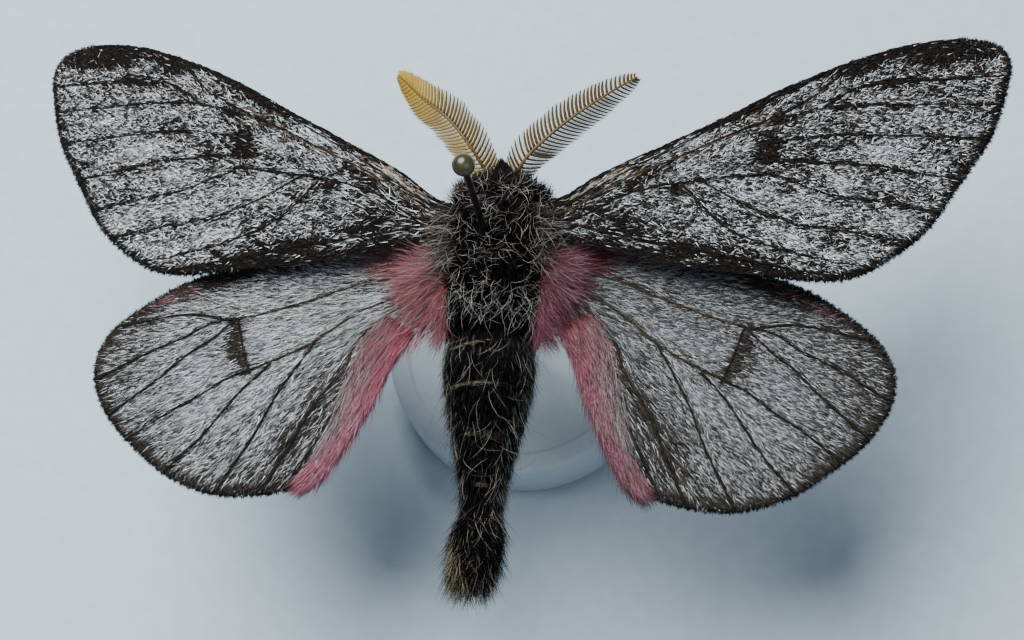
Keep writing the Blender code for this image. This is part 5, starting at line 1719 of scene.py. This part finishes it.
class MOTH_OT_hindwing_scales(bpy.types.Operator):
    """Lay the hair-like scales and the outer fringe of the hindwings"""

    bl_idname = "moth.hindwing_scales"
    bl_label = "Hindwing scales"

    def execute(self, context):
        build_wing_scales("hindwing", context.scene.moth_sizes, context.scene.moth_colours)
        return {"FINISHED"}


class MOTH_OT_rose_fringe(bpy.types.Operator):
    """Lay the rose hairs along the hindwings' inner edges"""

    bl_idname = "moth.rose_fringe"
    bl_label = "Rose fringe"

    def execute(self, context):
        build_rose_fringe(context.scene.moth_colours)
        return {"FINISHED"}


class MOTH_OT_body(bpy.types.Operator):
    """Make the body's one skin from the brow to the tail"""

    bl_idname = "moth.body"
    bl_label = "Body skin"

    def execute(self, context):
        build_body_skin(context.scene.moth_colours)
        return {"FINISHED"}


class MOTH_OT_thorax_coat(bpy.types.Operator):
    """Grow the thorax's black coat, pale hairs and steel-grey cape"""

    bl_idname = "moth.thorax_coat"
    bl_label = "Thorax coat"

    def execute(self, context):
        build_thorax_coat(context.scene.moth_colours)
        return {"FINISHED"}


class MOTH_OT_root_tufts(bpy.types.Operator):
    """Grow the tufts over the roots of the wings"""

    bl_idname = "moth.root_tufts"
    bl_label = "Wing root tufts"

    def execute(self, context):
        build_root_tufts(context.scene.moth_colours)
        return {"FINISHED"}


class MOTH_OT_abdomen_coat(bpy.types.Operator):
    """Grow the abdomen's coat, bands and side fringe"""

    bl_idname = "moth.abdomen_coat"
    bl_label = "Abdomen coat"

    def execute(self, context):
        build_abdomen_coat(context.scene.moth_colours)
        return {"FINISHED"}


class MOTH_OT_tail_brush(bpy.types.Operator):
    """Grow the brush at the tail"""

    bl_idname = "moth.tail_brush"
    bl_label = "Tail brush"

    def execute(self, context):
        build_tail_brush(context.scene.moth_colours)
        return {"FINISHED"}


class MOTH_OT_head_coat(bpy.types.Operator):
    """Grow the fur of the crown, brow, cheeks and collar"""

    bl_idname = "moth.head_coat"
    bl_label = "Head coat"

    def execute(self, context):
        build_head_coat(context.scene.moth_colours)
        return {"FINISHED"}


class MOTH_OT_eyes(bpy.types.Operator):
    """Make the two faceted eyes"""

    bl_idname = "moth.eyes"
    bl_label = "Eyes"

    def execute(self, context):
        build_eyes()
        return {"FINISHED"}


class MOTH_OT_palps(bpy.types.Operator):
    """Make the two palps with their fur"""

    bl_idname = "moth.palps"
    bl_label = "Palps"

    def execute(self, context):
        build_palps(context.scene.moth_colours)
        return {"FINISHED"}


class MOTH_OT_antennae(bpy.types.Operator):
    """Make the two feathered antennae"""

    bl_idname = "moth.antennae"
    bl_label = "Antennae"

    def execute(self, context):
        build_antennae(context.scene.moth_colours)
        return {"FINISHED"}


class MOTH_OT_legs(bpy.types.Operator):
    """Make the six folded legs with their fur"""

    bl_idname = "moth.legs"
    bl_label = "Legs"

    def execute(self, context):
        build_legs(context.scene.moth_colours)
        return {"FINISHED"}


class MOTH_OT_stage(bpy.types.Operator):
    """Set up the pale floor, the soft lights and the camera"""

    bl_idname = "moth.stage"
    bl_label = "Stage"

    def execute(self, context):
        build_stage(context.scene.moth_colours)
        return {"FINISHED"}


STEPS = (
    MOTH_OT_stand, MOTH_OT_pin, MOTH_OT_membranes, MOTH_OT_forewing_scales, MOTH_OT_hindwing_scales,
    MOTH_OT_rose_fringe, MOTH_OT_body, MOTH_OT_thorax_coat, MOTH_OT_root_tufts, MOTH_OT_abdomen_coat,
    MOTH_OT_tail_brush, MOTH_OT_head_coat, MOTH_OT_eyes, MOTH_OT_palps, MOTH_OT_antennae, MOTH_OT_legs,
    MOTH_OT_stage,
)


class MOTH_PT_panel(bpy.types.Panel):
    """The moth's pieces, sizes and colours"""

    bl_idname = "MOTH_PT_panel"
    bl_label = "Pinned moth"
    bl_space_type = "VIEW_3D"
    bl_region_type = "UI"
    bl_category = "Moth"

    def draw(self, context):
        for step in STEPS:
            self.layout.operator(step.bl_idname)
        for group in (context.scene.moth_sizes, context.scene.moth_colours):
            box = self.layout.box()
            for key in group.__annotations__:
                box.prop(group, key)


CLASSES = (MothSizes, MothColours, *STEPS, MOTH_PT_panel)


def register():
    for cls in CLASSES:
        bpy.utils.register_class(cls)
    bpy.types.Scene.moth_sizes = bpy.props.PointerProperty(type=MothSizes)
    bpy.types.Scene.moth_colours = bpy.props.PointerProperty(type=MothColours)


def unregister():
    del bpy.types.Scene.moth_colours
    del bpy.types.Scene.moth_sizes
    for cls in reversed(CLASSES):
        bpy.utils.unregister_class(cls)


def main():
    register()
    for step in STEPS:
        getattr(bpy.ops.moth, step.bl_idname.split(".")[1])()
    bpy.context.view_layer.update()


if __name__ == "__main__":
    main()
